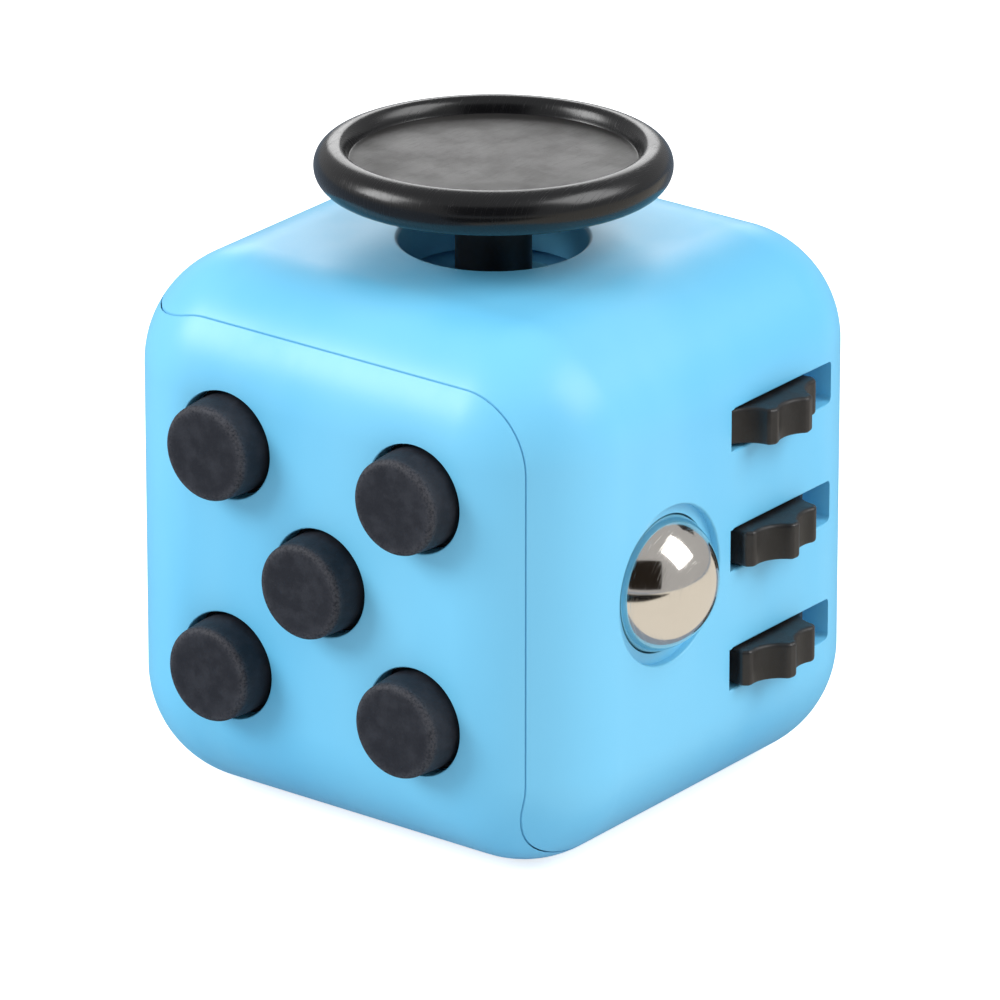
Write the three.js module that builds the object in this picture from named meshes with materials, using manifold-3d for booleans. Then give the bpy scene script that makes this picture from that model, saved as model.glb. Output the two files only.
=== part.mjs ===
// Fidget cube: a rounded two-part cube with a toy on each face.
// Units are millimetres. +Z is up, the front (five-button) face looks along -Y,
// and the origin is the centre of the face that the cube stands on.

import * as THREE from 'three';
import { RoundedBoxGeometry } from 'three/addons/geometries/RoundedBoxGeometry.js';
import { mergeVertices } from 'three/addons/utils/BufferGeometryUtils.js';
import Module from 'manifold-3d';

const wasm = await Module();
wasm.setup();

// ---- Body shell ----
const CUBE = 34;
const HALF = CUBE / 2;
const EDGE_RADIUS = 7.2;
const WALL = 1.4;
const INNER_FACE = HALF - WALL;
const SEAM_DEPTH = 1.5;
const SEAM_GAP = 0.14;
const SEAM_CORNER_RADIUS = 4.5;
const SOLID_CORNER = 6;
const TONGUE_DEPTH = 3;
const TONGUE_OUTER = 0.8;
const REBATE_OUTER = 0.7;
const DISH_RADIUS = 8;
const DISH_DEPTH = 1.5;
const DISH_PAD_RADIUS = 9.2;

// ---- Screws ----
const SHANK_GAP = 0.06;
const HEAD_GAP = 0.05;
const HEAD_HEIGHT = 0.8;

// ---- Five buttons on the front face ----
const BUTTON_PITCH = 7.1;
const BUTTON_CENTRE_Z = 17.1;
const BUTTON_PLACES = [[-1, 1], [1, 1], [0, 0], [-1, -1], [1, -1]];
const BUTTON_HOLE_RADIUS = 3.38;
const BUTTON_PROTRUSION = 2;
const BUTTON_FRONT_RADIUS = 2.98;
const BUTTON_ROOT_RADIUS = 3.1;
const BUTTON_EDGE_ROUND = 0.4;
const BUTTON_FLANGE_RADIUS = 4.1;
const BUTTON_FLANGE_FRONT = -1.7;
const BUTTON_FLANGE_BACK = -2.6;
const BUTTON_STEM_RADIUS = 1.3;
const BUTTON_STEM_END = -3.6;
const BACKPLATE_FRONT = -5.8;
const BACKPLATE_THICKNESS = 1;
const BACKPLATE_HALF = 10.6;
const BACKPLATE_PEG_HEIGHT = 0.8;
const BACKPLATE_SCREWS = [[-9.6, 0], [0, 9.4], [0, -9.4]];
const BACKPLATE_BOSS_RADIUS = 1.7;

// ---- Gliding joystick on the top face ----
const WELL_RADIUS = 5.72;
const COLLAR_RADIUS = 6.9;
const COLLAR_DROP = 1.4;
const PAD_RADIUS = 10.78;
const PAD_RIM_RADIUS = 1.37;
const PAD_RIM_INNER_REACH = 0.78;
const PAD_RIM_Z = 38.62;
const PAD_FLOOR_Z = 39.04;
const PAD_UNDERSIDE_Z = 37.9;
const PAD_SOCKET_TOP_Z = 38.48;
const PAD_SOCKET_GAP = 0.06;
const PAD_LEAN = 2.2;
const PAD_LEAN_AXIS = [-0.794, -0.608, 0];
const PAD_LEAN_PIVOT_Z = 38.62;
const STEM_RADIUS = 2.32;
const STEM_TOP_Z = 38.42;
const STEM_FLANGE_RADIUS = 5.2;
const STEM_FLANGE_Z = [28.85, 29.75];
const STEM_FOOT_RADIUS = 1.6;
const STEM_FOOT_Z = 25.2;
const SHUTTER_RADIUS = 8;
const SHUTTER_Z = [30, 30.9];
const SHUTTER_SLOT_HALF = [2.45, 4.7];
const TRAY_Z = [26.8, 27.8];
const TRAY_HALF_WIDTH = 9.9;
const TRAY_Y = [-9.2, 12.2];
const TRAY_CUP_RADIUS = 6.6;
const TRAY_CUP_BORE = 5.6;
const TRAY_CUP_BOTTOM_Z = 22.4;
const TRAY_CUP_FLOOR_Z = 23.4;
const TRAY_SCREWS = [[8.2, -7.6], [-8.2, -7.6], [7.2, 10.6], [-7.2, 10.6]];
const TRAY_BOSS_RADIUS = 1.4;
const TRAY_SHANK_RADIUS = 0.56;

// ---- Rolling and pressing ball on the right face ----
const BALL_RADIUS = 4.4;
const BALL_CENTRE = [15.2, -5, 17.3];
const BALL_MOUTH_RADIUS = 4.95;
const BALL_LIP_RADIUS = 4.28;
const BALL_LIP_OFFSET = 1.22;
const BALL_LIP_LENGTH = 0.08;
const HOUSING_RADIUS = 5.6;
const HOUSING_BORE = 4.87;
const HOUSING_END_X = 9.2;
const CUP_RADIUS = 4.75;
const CUP_X = [12.6, 14.9];
const CUP_CLEARANCE = 0.11;
const CAP_X = [8, 10.4];
const CAP_RADIUS = 6.35;

// ---- Three thumb wheels on the right face ----
const WHEEL_AXIS = [14.6, 5.25];
const WHEEL_Z = [9.8, 17.5, 25.2];
const WHEEL_NAMES = ['wheel_low', 'wheel_middle', 'wheel_high'];
const WHEEL_PHASES = [-8, -6, -28.5];
const WHEEL_RADIUS = 4.6;
const WHEEL_TEETH = 9;
const WHEEL_THICKNESS = 2.3;
const TOOTH_HALF_ANGLE = 5;
const VALLEY_DEPTH = 0.65;
const WHEEL_BORE = 1.06;
const WHEEL_PIN_RADIUS = 1;
const WHEEL_PIN_Z = [6.9, 28.1];
const SLOT_Y = [1.2, 11.4];
const SLOT_HALF_HEIGHT = 1.32;
const POCKET_RADIUS = 4.85;
const WHEEL_BLOCK_X = 10.5;
const WHEEL_BLOCK_Y = [-0.1, 12.2];
const WHEEL_BLOCK_Z = [7.4, 27.6];
const LEAF_X = [9.1, 9.4];
const LEAF_Y = [2.9, 7.6];
const LEAF_Z = [6.6, 26.4];
const LEAF_SCREW_Z = [13.65, 21.35];
const LEAF_SHANK_RADIUS = 0.46;
const LEAF_HEAD_RADIUS = 1.1;
const LEAF_SCREW_LENGTH = 2.6;
const LEAF_POST_RADIUS = 1.3;
const LEAF_PIP_RADIUS = 0.52;

// ---- Spinning dial on the back face ----
const DIAL_RADIUS = 9;
const DIAL_Y = [17.15, 19];
const DIAL_HUB_RADIUS = 2.4;
const DIAL_HOLE_RADIUS = 2.5;
const DIAL_HUB_END_Y = 15.35;
const DIAL_BORE = 0.72;
const DIMPLE_OFFSET = 5.3;
const DIMPLE_RADIUS = 2.6;
const DIMPLE_DEPTH = 1;
const WASHER_Y = [14.5, 15.28];
const WASHER_RADIUS = 4.2;

// ---- Flip switch on the left face ----
const ROCKER_PIVOT = [-14.13, 0, 17];
const ROCKER_REST_TILT = 12;
const ROCKER_WIDTH = 6.7;
const ROCKER_PIN_RADIUS = 0.8;
const ROCKER_OPENING_HALF = [3.6, 6.85];
const ROCKER_BOSS_RADIUS = 1.6;
const ROCKER_SCREW_OFFSET = 8.9;
const NIB_END = -3.6;
const PLUNGER_BORE = 0.95;
const PLUNGER_BORE_END = -1.2;
const BRACKET_CHEEK_Y = [3.65, 4.65];
const BRACKET_FRONT_X = -13.9;
const BRACKET_BACK_X = -8.3;
const BRACKET_WALL = 1;
const BRACKET_HALF_HEIGHT = 7.1;
const BRACKET_EAR_HALF_HEIGHT = 2.4;
const BRACKET_EAR_X = -15.4;
const BRACKET_FLANGE_END = 10.6;

const SHELL_BLUE = 0x86d2f6;
const BUTTON_BLACK = 0x2f323c;
const GLOSS_BLACK = 0x17181b;
const WHEEL_BLACK = 0x2b2b2d;
const INNER_BLACK = 0x26282b;
const STEEL = 0xc9c6c0;
const SPRING_STEEL = 0x9a9a98;

const plastic = (colour, roughness = 0.4) =>
  new THREE.MeshStandardMaterial({ color: colour, roughness, metalness: 0 });
const metal = (colour, roughness = 0.25) =>
  new THREE.MeshStandardMaterial({ color: colour, roughness, metalness: 1 });

// ---------------------------------------------------------------- solid helpers

/** Shares the vertices of a closed geometry and drops triangles that have no area. */
function weld(geometry) {
  const bare = geometry.clone();
  for (const name of Object.keys(bare.attributes)) {
    if (name !== 'position') bare.deleteAttribute(name);
  }
  const merged = mergeVertices(bare, 1e-4);
  const source = merged.index.array;
  const kept = [];
  for (let i = 0; i < source.length; i += 3) {
    const [a, b, c] = [source[i], source[i + 1], source[i + 2]];
    if (a !== b && b !== c && a !== c) kept.push(a, b, c);
  }
  merged.setIndex(kept);
  return merged;
}

/** Turns a closed geometry into a solid that can be joined and cut. */
function solid(geometry) {
  const merged = weld(geometry);
  return new wasm.Manifold(new wasm.Mesh({
    numProp: 3,
    vertProperties: new Float32Array(merged.attributes.position.array),
    triVerts: new Uint32Array(merged.index.array),
  }));
}

/** Turns a solid back into a geometry. */
function geometryOf(body) {
  const mesh = body.getMesh();
  const geometry = new THREE.BufferGeometry();
  geometry.setAttribute('position', new THREE.BufferAttribute(mesh.vertProperties, 3));
  geometry.setIndex(new THREE.BufferAttribute(mesh.triVerts, 1));
  return geometry;
}

const join = (first, ...others) => others.reduce((sum, other) => sum.add(other), first);
const cut = (first, ...others) => others.reduce((rest, other) => rest.subtract(other), first);

/** Turns a geometry made around +Y so that its axis points along x, y, z or -y. */
function aim(geometry, axis) {
  if (axis === 'x') geometry.rotateZ(-Math.PI / 2);
  if (axis === 'z') geometry.rotateX(Math.PI / 2);
  if (axis === '-y') geometry.rotateX(Math.PI);
  return geometry;
}

/** A box between two corners, given as [low, high] for each axis. */
function block(x, y, z) {
  const geometry = new THREE.BoxGeometry(x[1] - x[0], y[1] - y[0], z[1] - z[0]);
  geometry.translate((x[0] + x[1]) / 2, (y[0] + y[1]) / 2, (z[0] + z[1]) / 2);
  return geometry;
}

/** A cylinder along x, y or z between two stations of that axis, around a point of the other two. */
function rod(axis, span, [first, second], radius, sides = 24) {
  const geometry = new THREE.CylinderGeometry(radius, radius, span[1] - span[0], sides);
  const middle = (span[0] + span[1]) / 2;
  aim(geometry, axis);
  const place = { x: [middle, first, second], y: [first, middle, second], z: [first, second, middle] };
  geometry.translate(...place[axis]);
  return geometry;
}

/** A turned piece: its profile is a list of [radius, station along the axis]. */
function turned(profile, axis, sides = 32) {
  const points = profile.map(([radius, station]) => new THREE.Vector2(radius, station));
  return aim(new THREE.LatheGeometry(points, sides), axis);
}

/** Points of an arc around [centre radius, centre station], angles in degrees. */
function arc([centreRadius, centreStation], radius, from, to, steps) {
  return Array.from({ length: steps + 1 }, (_, i) => {
    const angle = THREE.MathUtils.degToRad(from + (to - from) * i / steps);
    return [centreRadius + radius * Math.cos(angle), centreStation + radius * Math.sin(angle)];
  });
}

/** A coil along +Y from 0 to its length; its radius may change along it. */
class Coil extends THREE.Curve {
  constructor(startRadius, endRadius, length, turns) {
    super();
    Object.assign(this, { startRadius, endRadius, length, turns });
  }

  getPoint(t, target = new THREE.Vector3()) {
    const angle = 2 * Math.PI * this.turns * t;
    const radius = THREE.MathUtils.lerp(this.startRadius, this.endRadius, t);
    return target.set(radius * Math.cos(angle), this.length * t, radius * Math.sin(angle));
  }
}

/** A coil spring that just fits a free length, made around +Y. */
function spring(startRadius, endRadius, freeLength, turns, wireRadius, stepsPerTurn = 10) {
  const section = new THREE.Shape();
  const sides = 4;
  for (let i = 0; i < sides; i += 1) {
    const angle = 2 * Math.PI * i / sides;
    const point = [wireRadius * Math.cos(angle), wireRadius * Math.sin(angle)];
    if (i === 0) section.moveTo(...point);
    else section.lineTo(...point);
  }
  const extrudePath = new Coil(startRadius, endRadius, freeLength - 2.4 * wireRadius, turns);
  const steps = Math.round(turns * stepsPerTurn);
  const geometry = new THREE.ExtrudeGeometry(section, { extrudePath, steps, bevelEnabled: false });
  geometry.translate(0, 1.2 * wireRadius, 0);
  return geometry;
}

/** A cheese-head screw: the head lies below 0 and the shank reaches up to its length, around +Y. */
function screw(headRadius, shankRadius, length) {
  return turned([
    [0, -HEAD_HEIGHT], [headRadius * 0.85, -HEAD_HEIGHT], [headRadius, -HEAD_HEIGHT * 0.6],
    [headRadius, -HEAD_GAP], [shankRadius, -HEAD_GAP], [shankRadius, length - shankRadius], [0, length],
  ], 'y', 10);
}

/** Adds a named mesh to a group. */
function piece(parent, name, geometry, material, position = [0, 0, 0]) {
  const mesh = new THREE.Mesh(weld(geometry), material);
  mesh.name = name;
  mesh.position.set(...position);
  parent.add(mesh);
  return mesh;
}

// ---------------------------------------------------------------- body shell

/** The rounded cube, shrunk evenly by an inset. */
function roundedCube(inset, segments = 3) {
  const side = CUBE - 2 * inset;
  const geometry = new RoundedBoxGeometry(side, side, side, segments, EDGE_RADIUS - inset);
  geometry.translate(0, 0, HALF);
  return solid(geometry);
}

/**
 * The region behind the parting line, which lies a depth behind the front, left and bottom faces. Its edges
 * are rounded less as it lies deeper, so that the seam is as wide at a corner as along an edge.
 */
function partingBlock(depth) {
  const side = 2 * CUBE;
  const geometry = new RoundedBoxGeometry(side, side, side, 3, SEAM_CORNER_RADIUS + SEAM_DEPTH - depth);
  const middle = -HALF + depth + CUBE;
  geometry.translate(middle, middle, HALF + middle);
  return solid(geometry);
}

/** A boss with a blind screw hole, standing on the inside of a face. */
function boss(axis, span, place, radius, bore, boreSpan) {
  return {
    outside: solid(rod(axis, span, place, radius, 14)),
    hole: solid(rod(axis, boreSpan, place, bore, 10)),
  };
}

function buttonPlace([column, row]) {
  return [column * BUTTON_PITCH, BUTTON_CENTRE_Z + row * BUTTON_PITCH];
}

/**
 * The half with the front, left and bottom faces. A thin tongue along its seam reaches into the other half,
 * and the corner where its three faces meet is of full thickness.
 */
function frontHalf(cavity) {
  const low = [-HALF, -HALF + SOLID_CORNER];
  const corner = solid(block(low, low, [0, SOLID_CORNER]));
  const outside = cut(roundedCube(0, 4), cut(partingBlock(SEAM_DEPTH), corner));
  const tongue = cut(roundedCube(TONGUE_OUTER), partingBlock(TONGUE_DEPTH));
  let body = cut(join(outside, tongue), cavity);

  const pad = solid(rod('z', [WALL / 2, DISH_DEPTH + WALL], [0, 0], DISH_PAD_RADIUS, 32));
  const dishSphere = (DISH_RADIUS ** 2 + DISH_DEPTH ** 2) / (2 * DISH_DEPTH);
  const dishEdge = THREE.MathUtils.radToDeg(Math.asin(DISH_RADIUS / dishSphere));
  const dishProfile = [
    [0, -1], [DISH_RADIUS, -1],
    ...arc([0, DISH_DEPTH - dishSphere], dishSphere, 90 - dishEdge, 90, 4).slice(0, -1),
    [0, DISH_DEPTH],
  ];
  body = cut(join(body, pad), solid(turned(dishProfile, 'z', 32)));

  for (const place of BUTTON_PLACES) {
    body = cut(body, solid(rod('y', [-HALF - 1, -INNER_FACE + 1], buttonPlace(place), BUTTON_HOLE_RADIUS, 24)));
  }
  const backplateFront = -HALF - BACKPLATE_FRONT;
  for (const [x, z] of BACKPLATE_SCREWS) {
    const post = boss('y', [-INNER_FACE - 0.1, backplateFront - HEAD_GAP * 2], [x, BUTTON_CENTRE_Z + z],
      BACKPLATE_BOSS_RADIUS, 0.72, [-INNER_FACE + 0.8, backplateFront + 1]);
    body = cut(join(body, post.outside), post.hole);
  }

  const [openingY, openingZ] = ROCKER_OPENING_HALF;
  body = cut(body, solid(block([-HALF - 1, -INNER_FACE + 1], [-openingY, openingY],
    [HALF - openingZ, HALF + openingZ])));
  for (const side of [-1, 1]) {
    const post = boss('x', [-INNER_FACE - 0.1, BRACKET_FRONT_X - 0.1], [0, HALF + side * ROCKER_SCREW_OFFSET],
      ROCKER_BOSS_RADIUS, 0.72, [-HALF + 0.8, BRACKET_FRONT_X + 1]);
    body = cut(join(body, post.outside), post.hole);
  }
  return body;
}

/** The tube behind the ball hole, with the lip that keeps the ball in. */
function ballHousing() {
  const [ballX, ballY, ballZ] = BALL_CENTRE;
  const tube = solid(rod('x', [HOUSING_END_X, INNER_FACE + 0.1], [ballY, ballZ], HOUSING_RADIUS, 32));
  const lipX = ballX + BALL_LIP_OFFSET;
  const lipEnd = lipX + BALL_LIP_LENGTH;
  const bore = turned([
    [0, HOUSING_END_X - 1], [HOUSING_BORE, HOUSING_END_X - 1],
    [HOUSING_BORE, CUP_X[1] + 0.15], [BALL_LIP_RADIUS + 0.25, CUP_X[1] + 0.15],
    [BALL_LIP_RADIUS + 0.19, ballX + 0.34], [BALL_LIP_RADIUS + 0.12, ballX + 0.8], [BALL_LIP_RADIUS, lipX],
    [BALL_LIP_RADIUS, lipEnd], [BALL_MOUTH_RADIUS, lipEnd], [BALL_MOUTH_RADIUS, HALF + 0.5],
    [0, HALF + 0.5],
  ], 'x', 36);
  bore.translate(0, ballY, ballZ);
  return { tube, bore: solid(bore) };
}

/** The block behind the three slots, with a pocket for each wheel. */
function wheelBlock() {
  const outside = solid(block([WHEEL_BLOCK_X, INNER_FACE + 0.1], WHEEL_BLOCK_Y, WHEEL_BLOCK_Z));
  const holes = WHEEL_Z.flatMap((z) => {
    const height = [z - SLOT_HALF_HEIGHT, z + SLOT_HALF_HEIGHT];
    return [
      solid(block([WHEEL_AXIS[0], HALF + 1], SLOT_Y, height)),
      solid(rod('z', height, WHEEL_AXIS, POCKET_RADIUS, 28)),
    ];
  });
  holes.push(solid(rod('z', [WHEEL_BLOCK_Z[0] - 1, WHEEL_BLOCK_Z[1] + 1], WHEEL_AXIS,
    WHEEL_PIN_RADIUS + 0.03, 20)));
  const posts = LEAF_SCREW_Z.map((z) => boss('x', [LEAF_X[1] + HEAD_GAP, WHEEL_BLOCK_X + 0.1],
    [WHEEL_AXIS[1], z], LEAF_POST_RADIUS, LEAF_SHANK_RADIUS + SHANK_GAP,
    [LEAF_X[1] - 1, WHEEL_BLOCK_X + 1.5]));
  return { outside, holes, posts };
}

/** The half with the top, right and back faces, with a rebate for the tongue. */
function backHalf(cavity) {
  const outside = roundedCube(0, 4).intersect(partingBlock(SEAM_DEPTH + SEAM_GAP));
  const rebate = cut(roundedCube(REBATE_OUTER), partingBlock(TONGUE_DEPTH + SEAM_GAP));
  let body = cut(outside, rebate, cavity);

  const wellTop = CUBE - WALL;
  const collar = solid(rod('z', [wellTop - COLLAR_DROP, wellTop + 0.1], [0, 0], COLLAR_RADIUS, 32));
  const well = solid(rod('z', [wellTop - COLLAR_DROP - 1, CUBE + 1], [0, 0], WELL_RADIUS, 32));
  body = cut(join(body, collar), well);
  for (const place of TRAY_SCREWS) {
    const post = boss('z', [TRAY_Z[1] + 0.1, wellTop + 0.1], place, TRAY_BOSS_RADIUS,
      TRAY_SHANK_RADIUS + SHANK_GAP, [TRAY_Z[1] - 1, wellTop - 0.7]);
    body = cut(join(body, post.outside), post.hole);
  }

  const housing = ballHousing();
  const wheels = wheelBlock();
  body = join(body, housing.tube, wheels.outside, ...wheels.posts.map((post) => post.outside));
  body = cut(body, housing.bore, ...wheels.holes, ...wheels.posts.map((post) => post.hole));

  return cut(body, solid(rod('y', [INNER_FACE - 1, HALF + 1], [0, HALF], DIAL_HOLE_RADIUS, 24)));
}

function buildShell(parent) {
  const cavity = roundedCube(WALL);
  piece(parent, 'shell_front_half', geometryOf(frontHalf(cavity)), plastic(SHELL_BLUE, 0.3));
  piece(parent, 'shell_back_half', geometryOf(backHalf(cavity)), plastic(SHELL_BLUE, 0.3));
}

// ---------------------------------------------------------------- five buttons

/** A button cap around +Y; station 0 is the cube's face. */
function buttonCap() {
  const shoulder = BUTTON_FRONT_RADIUS - BUTTON_EDGE_ROUND;
  return turned([
    [0, BUTTON_STEM_END], [BUTTON_STEM_RADIUS, BUTTON_STEM_END], [BUTTON_STEM_RADIUS, BUTTON_FLANGE_BACK],
    [BUTTON_FLANGE_RADIUS, BUTTON_FLANGE_BACK], [BUTTON_FLANGE_RADIUS, BUTTON_FLANGE_FRONT],
    [BUTTON_ROOT_RADIUS, BUTTON_FLANGE_FRONT], [BUTTON_ROOT_RADIUS, 0],
    ...arc([shoulder, BUTTON_PROTRUSION - BUTTON_EDGE_ROUND], BUTTON_EDGE_ROUND, 0, 90, 2),
    [0, BUTTON_PROTRUSION],
  ], '-y', 20);
}

function buildButtons(parent) {
  const springLength = BUTTON_FLANGE_BACK - BACKPLATE_FRONT;
  BUTTON_PLACES.forEach((place, index) => {
    const [x, z] = buttonPlace(place);
    const button = new THREE.Group();
    button.position.set(x, -HALF, z);
    piece(button, `button_cap_${index + 1}`, buttonCap(), plastic(BUTTON_BLACK, 0.75));
    piece(button, `button_spring_${index + 1}`, aim(spring(2, 2, springLength, 3, 0.22), 'y'),
      metal(SPRING_STEEL), [0, -BUTTON_FLANGE_BACK, 0]);
    parent.add(button);
  });

  const front = -HALF - BACKPLATE_FRONT;
  const back = front + BACKPLATE_THICKNESS;
  const heights = [BUTTON_CENTRE_Z - BACKPLATE_HALF, BUTTON_CENTRE_Z + BACKPLATE_HALF];
  let plate = solid(block([-BACKPLATE_HALF, BACKPLATE_HALF], [front, back], heights));
  plate = cut(plate, solid(block([7.6, BACKPLATE_HALF + 1], [front - 1, back + 1],
    [BALL_CENTRE[2] - 3.9, BALL_CENTRE[2] + 3.9])));
  for (const place of BUTTON_PLACES) {
    plate = join(plate, solid(rod('y', [front - BACKPLATE_PEG_HEIGHT, front + 0.1], buttonPlace(place), 1.3, 16)));
  }
  BACKPLATE_SCREWS.forEach(([x, z], index) => {
    const hole = solid(rod('y', [front - 1, back + 1], [x, BUTTON_CENTRE_Z + z], 0.85, 14));
    plate = cut(plate, hole);
    piece(parent, `backplate_screw_${index + 1}`, aim(screw(1.5, 0.66, 4.2), '-y'), metal(STEEL),
      [x, back, BUTTON_CENTRE_Z + z]);
  });
  piece(parent, 'button_backplate', geometryOf(plate), plastic(INNER_BLACK, 0.5));
}

// ---------------------------------------------------------------- gliding joystick

/**
 * The thumb pad: a flat floor inside a rolled rim, with a blind socket under it. The disc leans a little on
 * its upright stem, so the socket is cut after the disc is tilted.
 */
function joystickPad() {
  const rim = [PAD_RADIUS - PAD_RIM_RADIUS, PAD_RIM_Z];
  const angleAt = (z) => THREE.MathUtils.radToDeg(Math.asin((z - PAD_RIM_Z) / PAD_RIM_RADIUS));
  const innerWall = arc([0, PAD_RIM_Z], PAD_RIM_RADIUS, 90, 180 - angleAt(PAD_FLOOR_Z), 4).slice(1)
    .map(([offset, z]) => [rim[0] + offset * PAD_RIM_INNER_REACH / PAD_RIM_RADIUS, z]);
  const disc = turned([
    [0, PAD_UNDERSIDE_Z],
    ...arc(rim, PAD_RIM_RADIUS, -180 - angleAt(PAD_UNDERSIDE_Z), 90, 9),
    ...innerWall,
    [0, PAD_FLOOR_Z],
  ], 'z', 40);
  const lean = new THREE.Quaternion().setFromAxisAngle(
    new THREE.Vector3(...PAD_LEAN_AXIS).normalize(), THREE.MathUtils.degToRad(PAD_LEAN));
  disc.translate(0, 0, -PAD_LEAN_PIVOT_Z);
  disc.applyQuaternion(lean);
  disc.translate(0, 0, PAD_LEAN_PIVOT_Z);
  const socket = rod('z', [PAD_UNDERSIDE_Z - 1, PAD_SOCKET_TOP_Z], [0, 0], STEM_RADIUS + PAD_SOCKET_GAP, 24);
  return geometryOf(cut(solid(disc), solid(socket)));
}

function joystickStem() {
  const [flangeLow, flangeHigh] = STEM_FLANGE_Z;
  return turned([
    [0, STEM_FOOT_Z], [STEM_FOOT_RADIUS, STEM_FOOT_Z], [STEM_FOOT_RADIUS, flangeLow],
    [STEM_FLANGE_RADIUS, flangeLow], [STEM_FLANGE_RADIUS, flangeHigh],
    [STEM_RADIUS, flangeHigh], [STEM_RADIUS, STEM_TOP_Z], [0, STEM_TOP_Z],
  ], 'z', 24);
}

function joystickShutter() {
  const [halfWidth, halfLength] = SHUTTER_SLOT_HALF;
  const slot = block([-halfWidth, halfWidth], [-halfLength, halfLength],
    [SHUTTER_Z[0] - 1, SHUTTER_Z[1] + 1]);
  return geometryOf(cut(solid(rod('z', SHUTTER_Z, [0, 0], SHUTTER_RADIUS, 36)), solid(slot)));
}

function joystickTray() {
  const plate = solid(block([-TRAY_HALF_WIDTH, TRAY_HALF_WIDTH], TRAY_Y, TRAY_Z));
  const cup = solid(rod('z', [TRAY_CUP_BOTTOM_Z, TRAY_Z[1]], [0, 0], TRAY_CUP_RADIUS, 28));
  const bore = solid(rod('z', [TRAY_CUP_FLOOR_Z, TRAY_Z[1] + 1], [0, 0], TRAY_CUP_BORE, 28));
  const holes = TRAY_SCREWS.map((place) => solid(rod('z', [TRAY_Z[0] - 1, TRAY_Z[1] + 1], place, 0.75, 14)));
  return geometryOf(cut(join(plate, cup), bore, ...holes));
}

function buildJoystick(parent) {
  piece(parent, 'joystick_pad', joystickPad(), plastic(GLOSS_BLACK, 0.2));
  piece(parent, 'joystick_stem', joystickStem(), plastic(GLOSS_BLACK, 0.35));
  piece(parent, 'joystick_shutter', joystickShutter(), plastic(SHELL_BLUE, 0.4));
  piece(parent, 'joystick_tray', joystickTray(), plastic(INNER_BLACK, 0.5));
  const springLength = STEM_FLANGE_Z[0] - TRAY_CUP_FLOOR_Z;
  piece(parent, 'joystick_spring', aim(spring(4.6, 2.2, springLength, 4, 0.28, 12), 'z'),
    metal(SPRING_STEEL), [0, 0, TRAY_CUP_FLOOR_Z]);
  TRAY_SCREWS.forEach(([x, y], index) => {
    piece(parent, `tray_screw_${index + 1}`, aim(screw(1.3, TRAY_SHANK_RADIUS, 4.8), 'z'), metal(STEEL),
      [x, y, TRAY_Z[0]]);
  });
}

// ---------------------------------------------------------------- ball

/** The ring that the ball rests in; its seat follows the ball with a small clearance. */
function ballCup() {
  const seatRadius = BALL_RADIUS + CUP_CLEARANCE;
  const seat = [0, 0.5, 1].map((t) => {
    const x = THREE.MathUtils.lerp(CUP_X[1], CUP_X[0], t);
    return [Math.sqrt(seatRadius ** 2 - (BALL_CENTRE[0] - x) ** 2) + 0.02, x];
  });
  return turned([...seat, [CUP_RADIUS, CUP_X[0]], [CUP_RADIUS, CUP_X[1]], seat[0]], 'x', 28);
}

function ballCap() {
  const inner = HOUSING_RADIUS + 0.08;
  const floorX = HOUSING_END_X - 0.15;
  return turned([
    [1.5, CAP_X[0]], [CAP_RADIUS, CAP_X[0]], [CAP_RADIUS, CAP_X[1]], [inner, CAP_X[1]],
    [inner, floorX], [1.5, floorX], [1.5, CAP_X[0]],
  ], 'x', 28);
}

function buildBall(parent) {
  const [ballX, ballY, ballZ] = BALL_CENTRE;
  piece(parent, 'ball', new THREE.SphereGeometry(BALL_RADIUS, 28, 16), metal(STEEL, 0.08), BALL_CENTRE);
  const inside = new THREE.Group();
  inside.position.set(0, ballY, ballZ);
  piece(inside, 'ball_cup', ballCup(), plastic(INNER_BLACK, 0.4));
  const springStart = HOUSING_END_X - 0.15;
  piece(inside, 'ball_spring', aim(spring(4.05, 4.05, CUP_X[0] - springStart, 3, 0.3, 12), 'x'),
    metal(SPRING_STEEL), [springStart, 0, 0]);
  piece(inside, 'ball_spring_cap', ballCap(), plastic(INNER_BLACK, 0.5));
  parent.add(inside);
}

// ---------------------------------------------------------------- thumb wheels

/** One wheel outline: narrow rounded teeth with a wide hollow between each two. */
function wheelOutline() {
  const pitch = 360 / WHEEL_TEETH;
  const hollowEdge = THREE.MathUtils.degToRad(pitch / 2 - TOOTH_HALF_ANGLE);
  const shoulder = WHEEL_RADIUS - 0.12;
  const edge = [shoulder * Math.cos(hollowEdge), shoulder * Math.sin(hollowEdge)];
  const bottom = WHEEL_RADIUS - VALLEY_DEPTH;
  const rise = edge[0] - bottom;
  const hollowRadius = (edge[1] ** 2 + rise ** 2) / (2 * rise);
  const sweep = THREE.MathUtils.radToDeg(Math.asin(edge[1] / hollowRadius));
  const tip = arc([0, 0], WHEEL_RADIUS, -0.6 * TOOTH_HALF_ANGLE, 0.6 * TOOTH_HALF_ANGLE, 2);
  const hollow = arc([bottom + hollowRadius, 0], hollowRadius, 180 + sweep, 180 - sweep, 4);
  const axis = new THREE.Vector2();
  const turnedPoints = (points, degrees) => points.map(([x, y]) =>
    new THREE.Vector2(x, y).rotateAround(axis, THREE.MathUtils.degToRad(degrees)));
  const outline = [];
  for (let tooth = 0; tooth < WHEEL_TEETH; tooth += 1) {
    outline.push(...turnedPoints(tip, tooth * pitch), ...turnedPoints(hollow, (tooth + 0.5) * pitch));
  }
  const shape = new THREE.Shape(outline);
  const bore = new THREE.Path();
  bore.absarc(0, 0, WHEEL_BORE, 0, 2 * Math.PI, true);
  shape.holes.push(bore);
  return shape;
}

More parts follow.
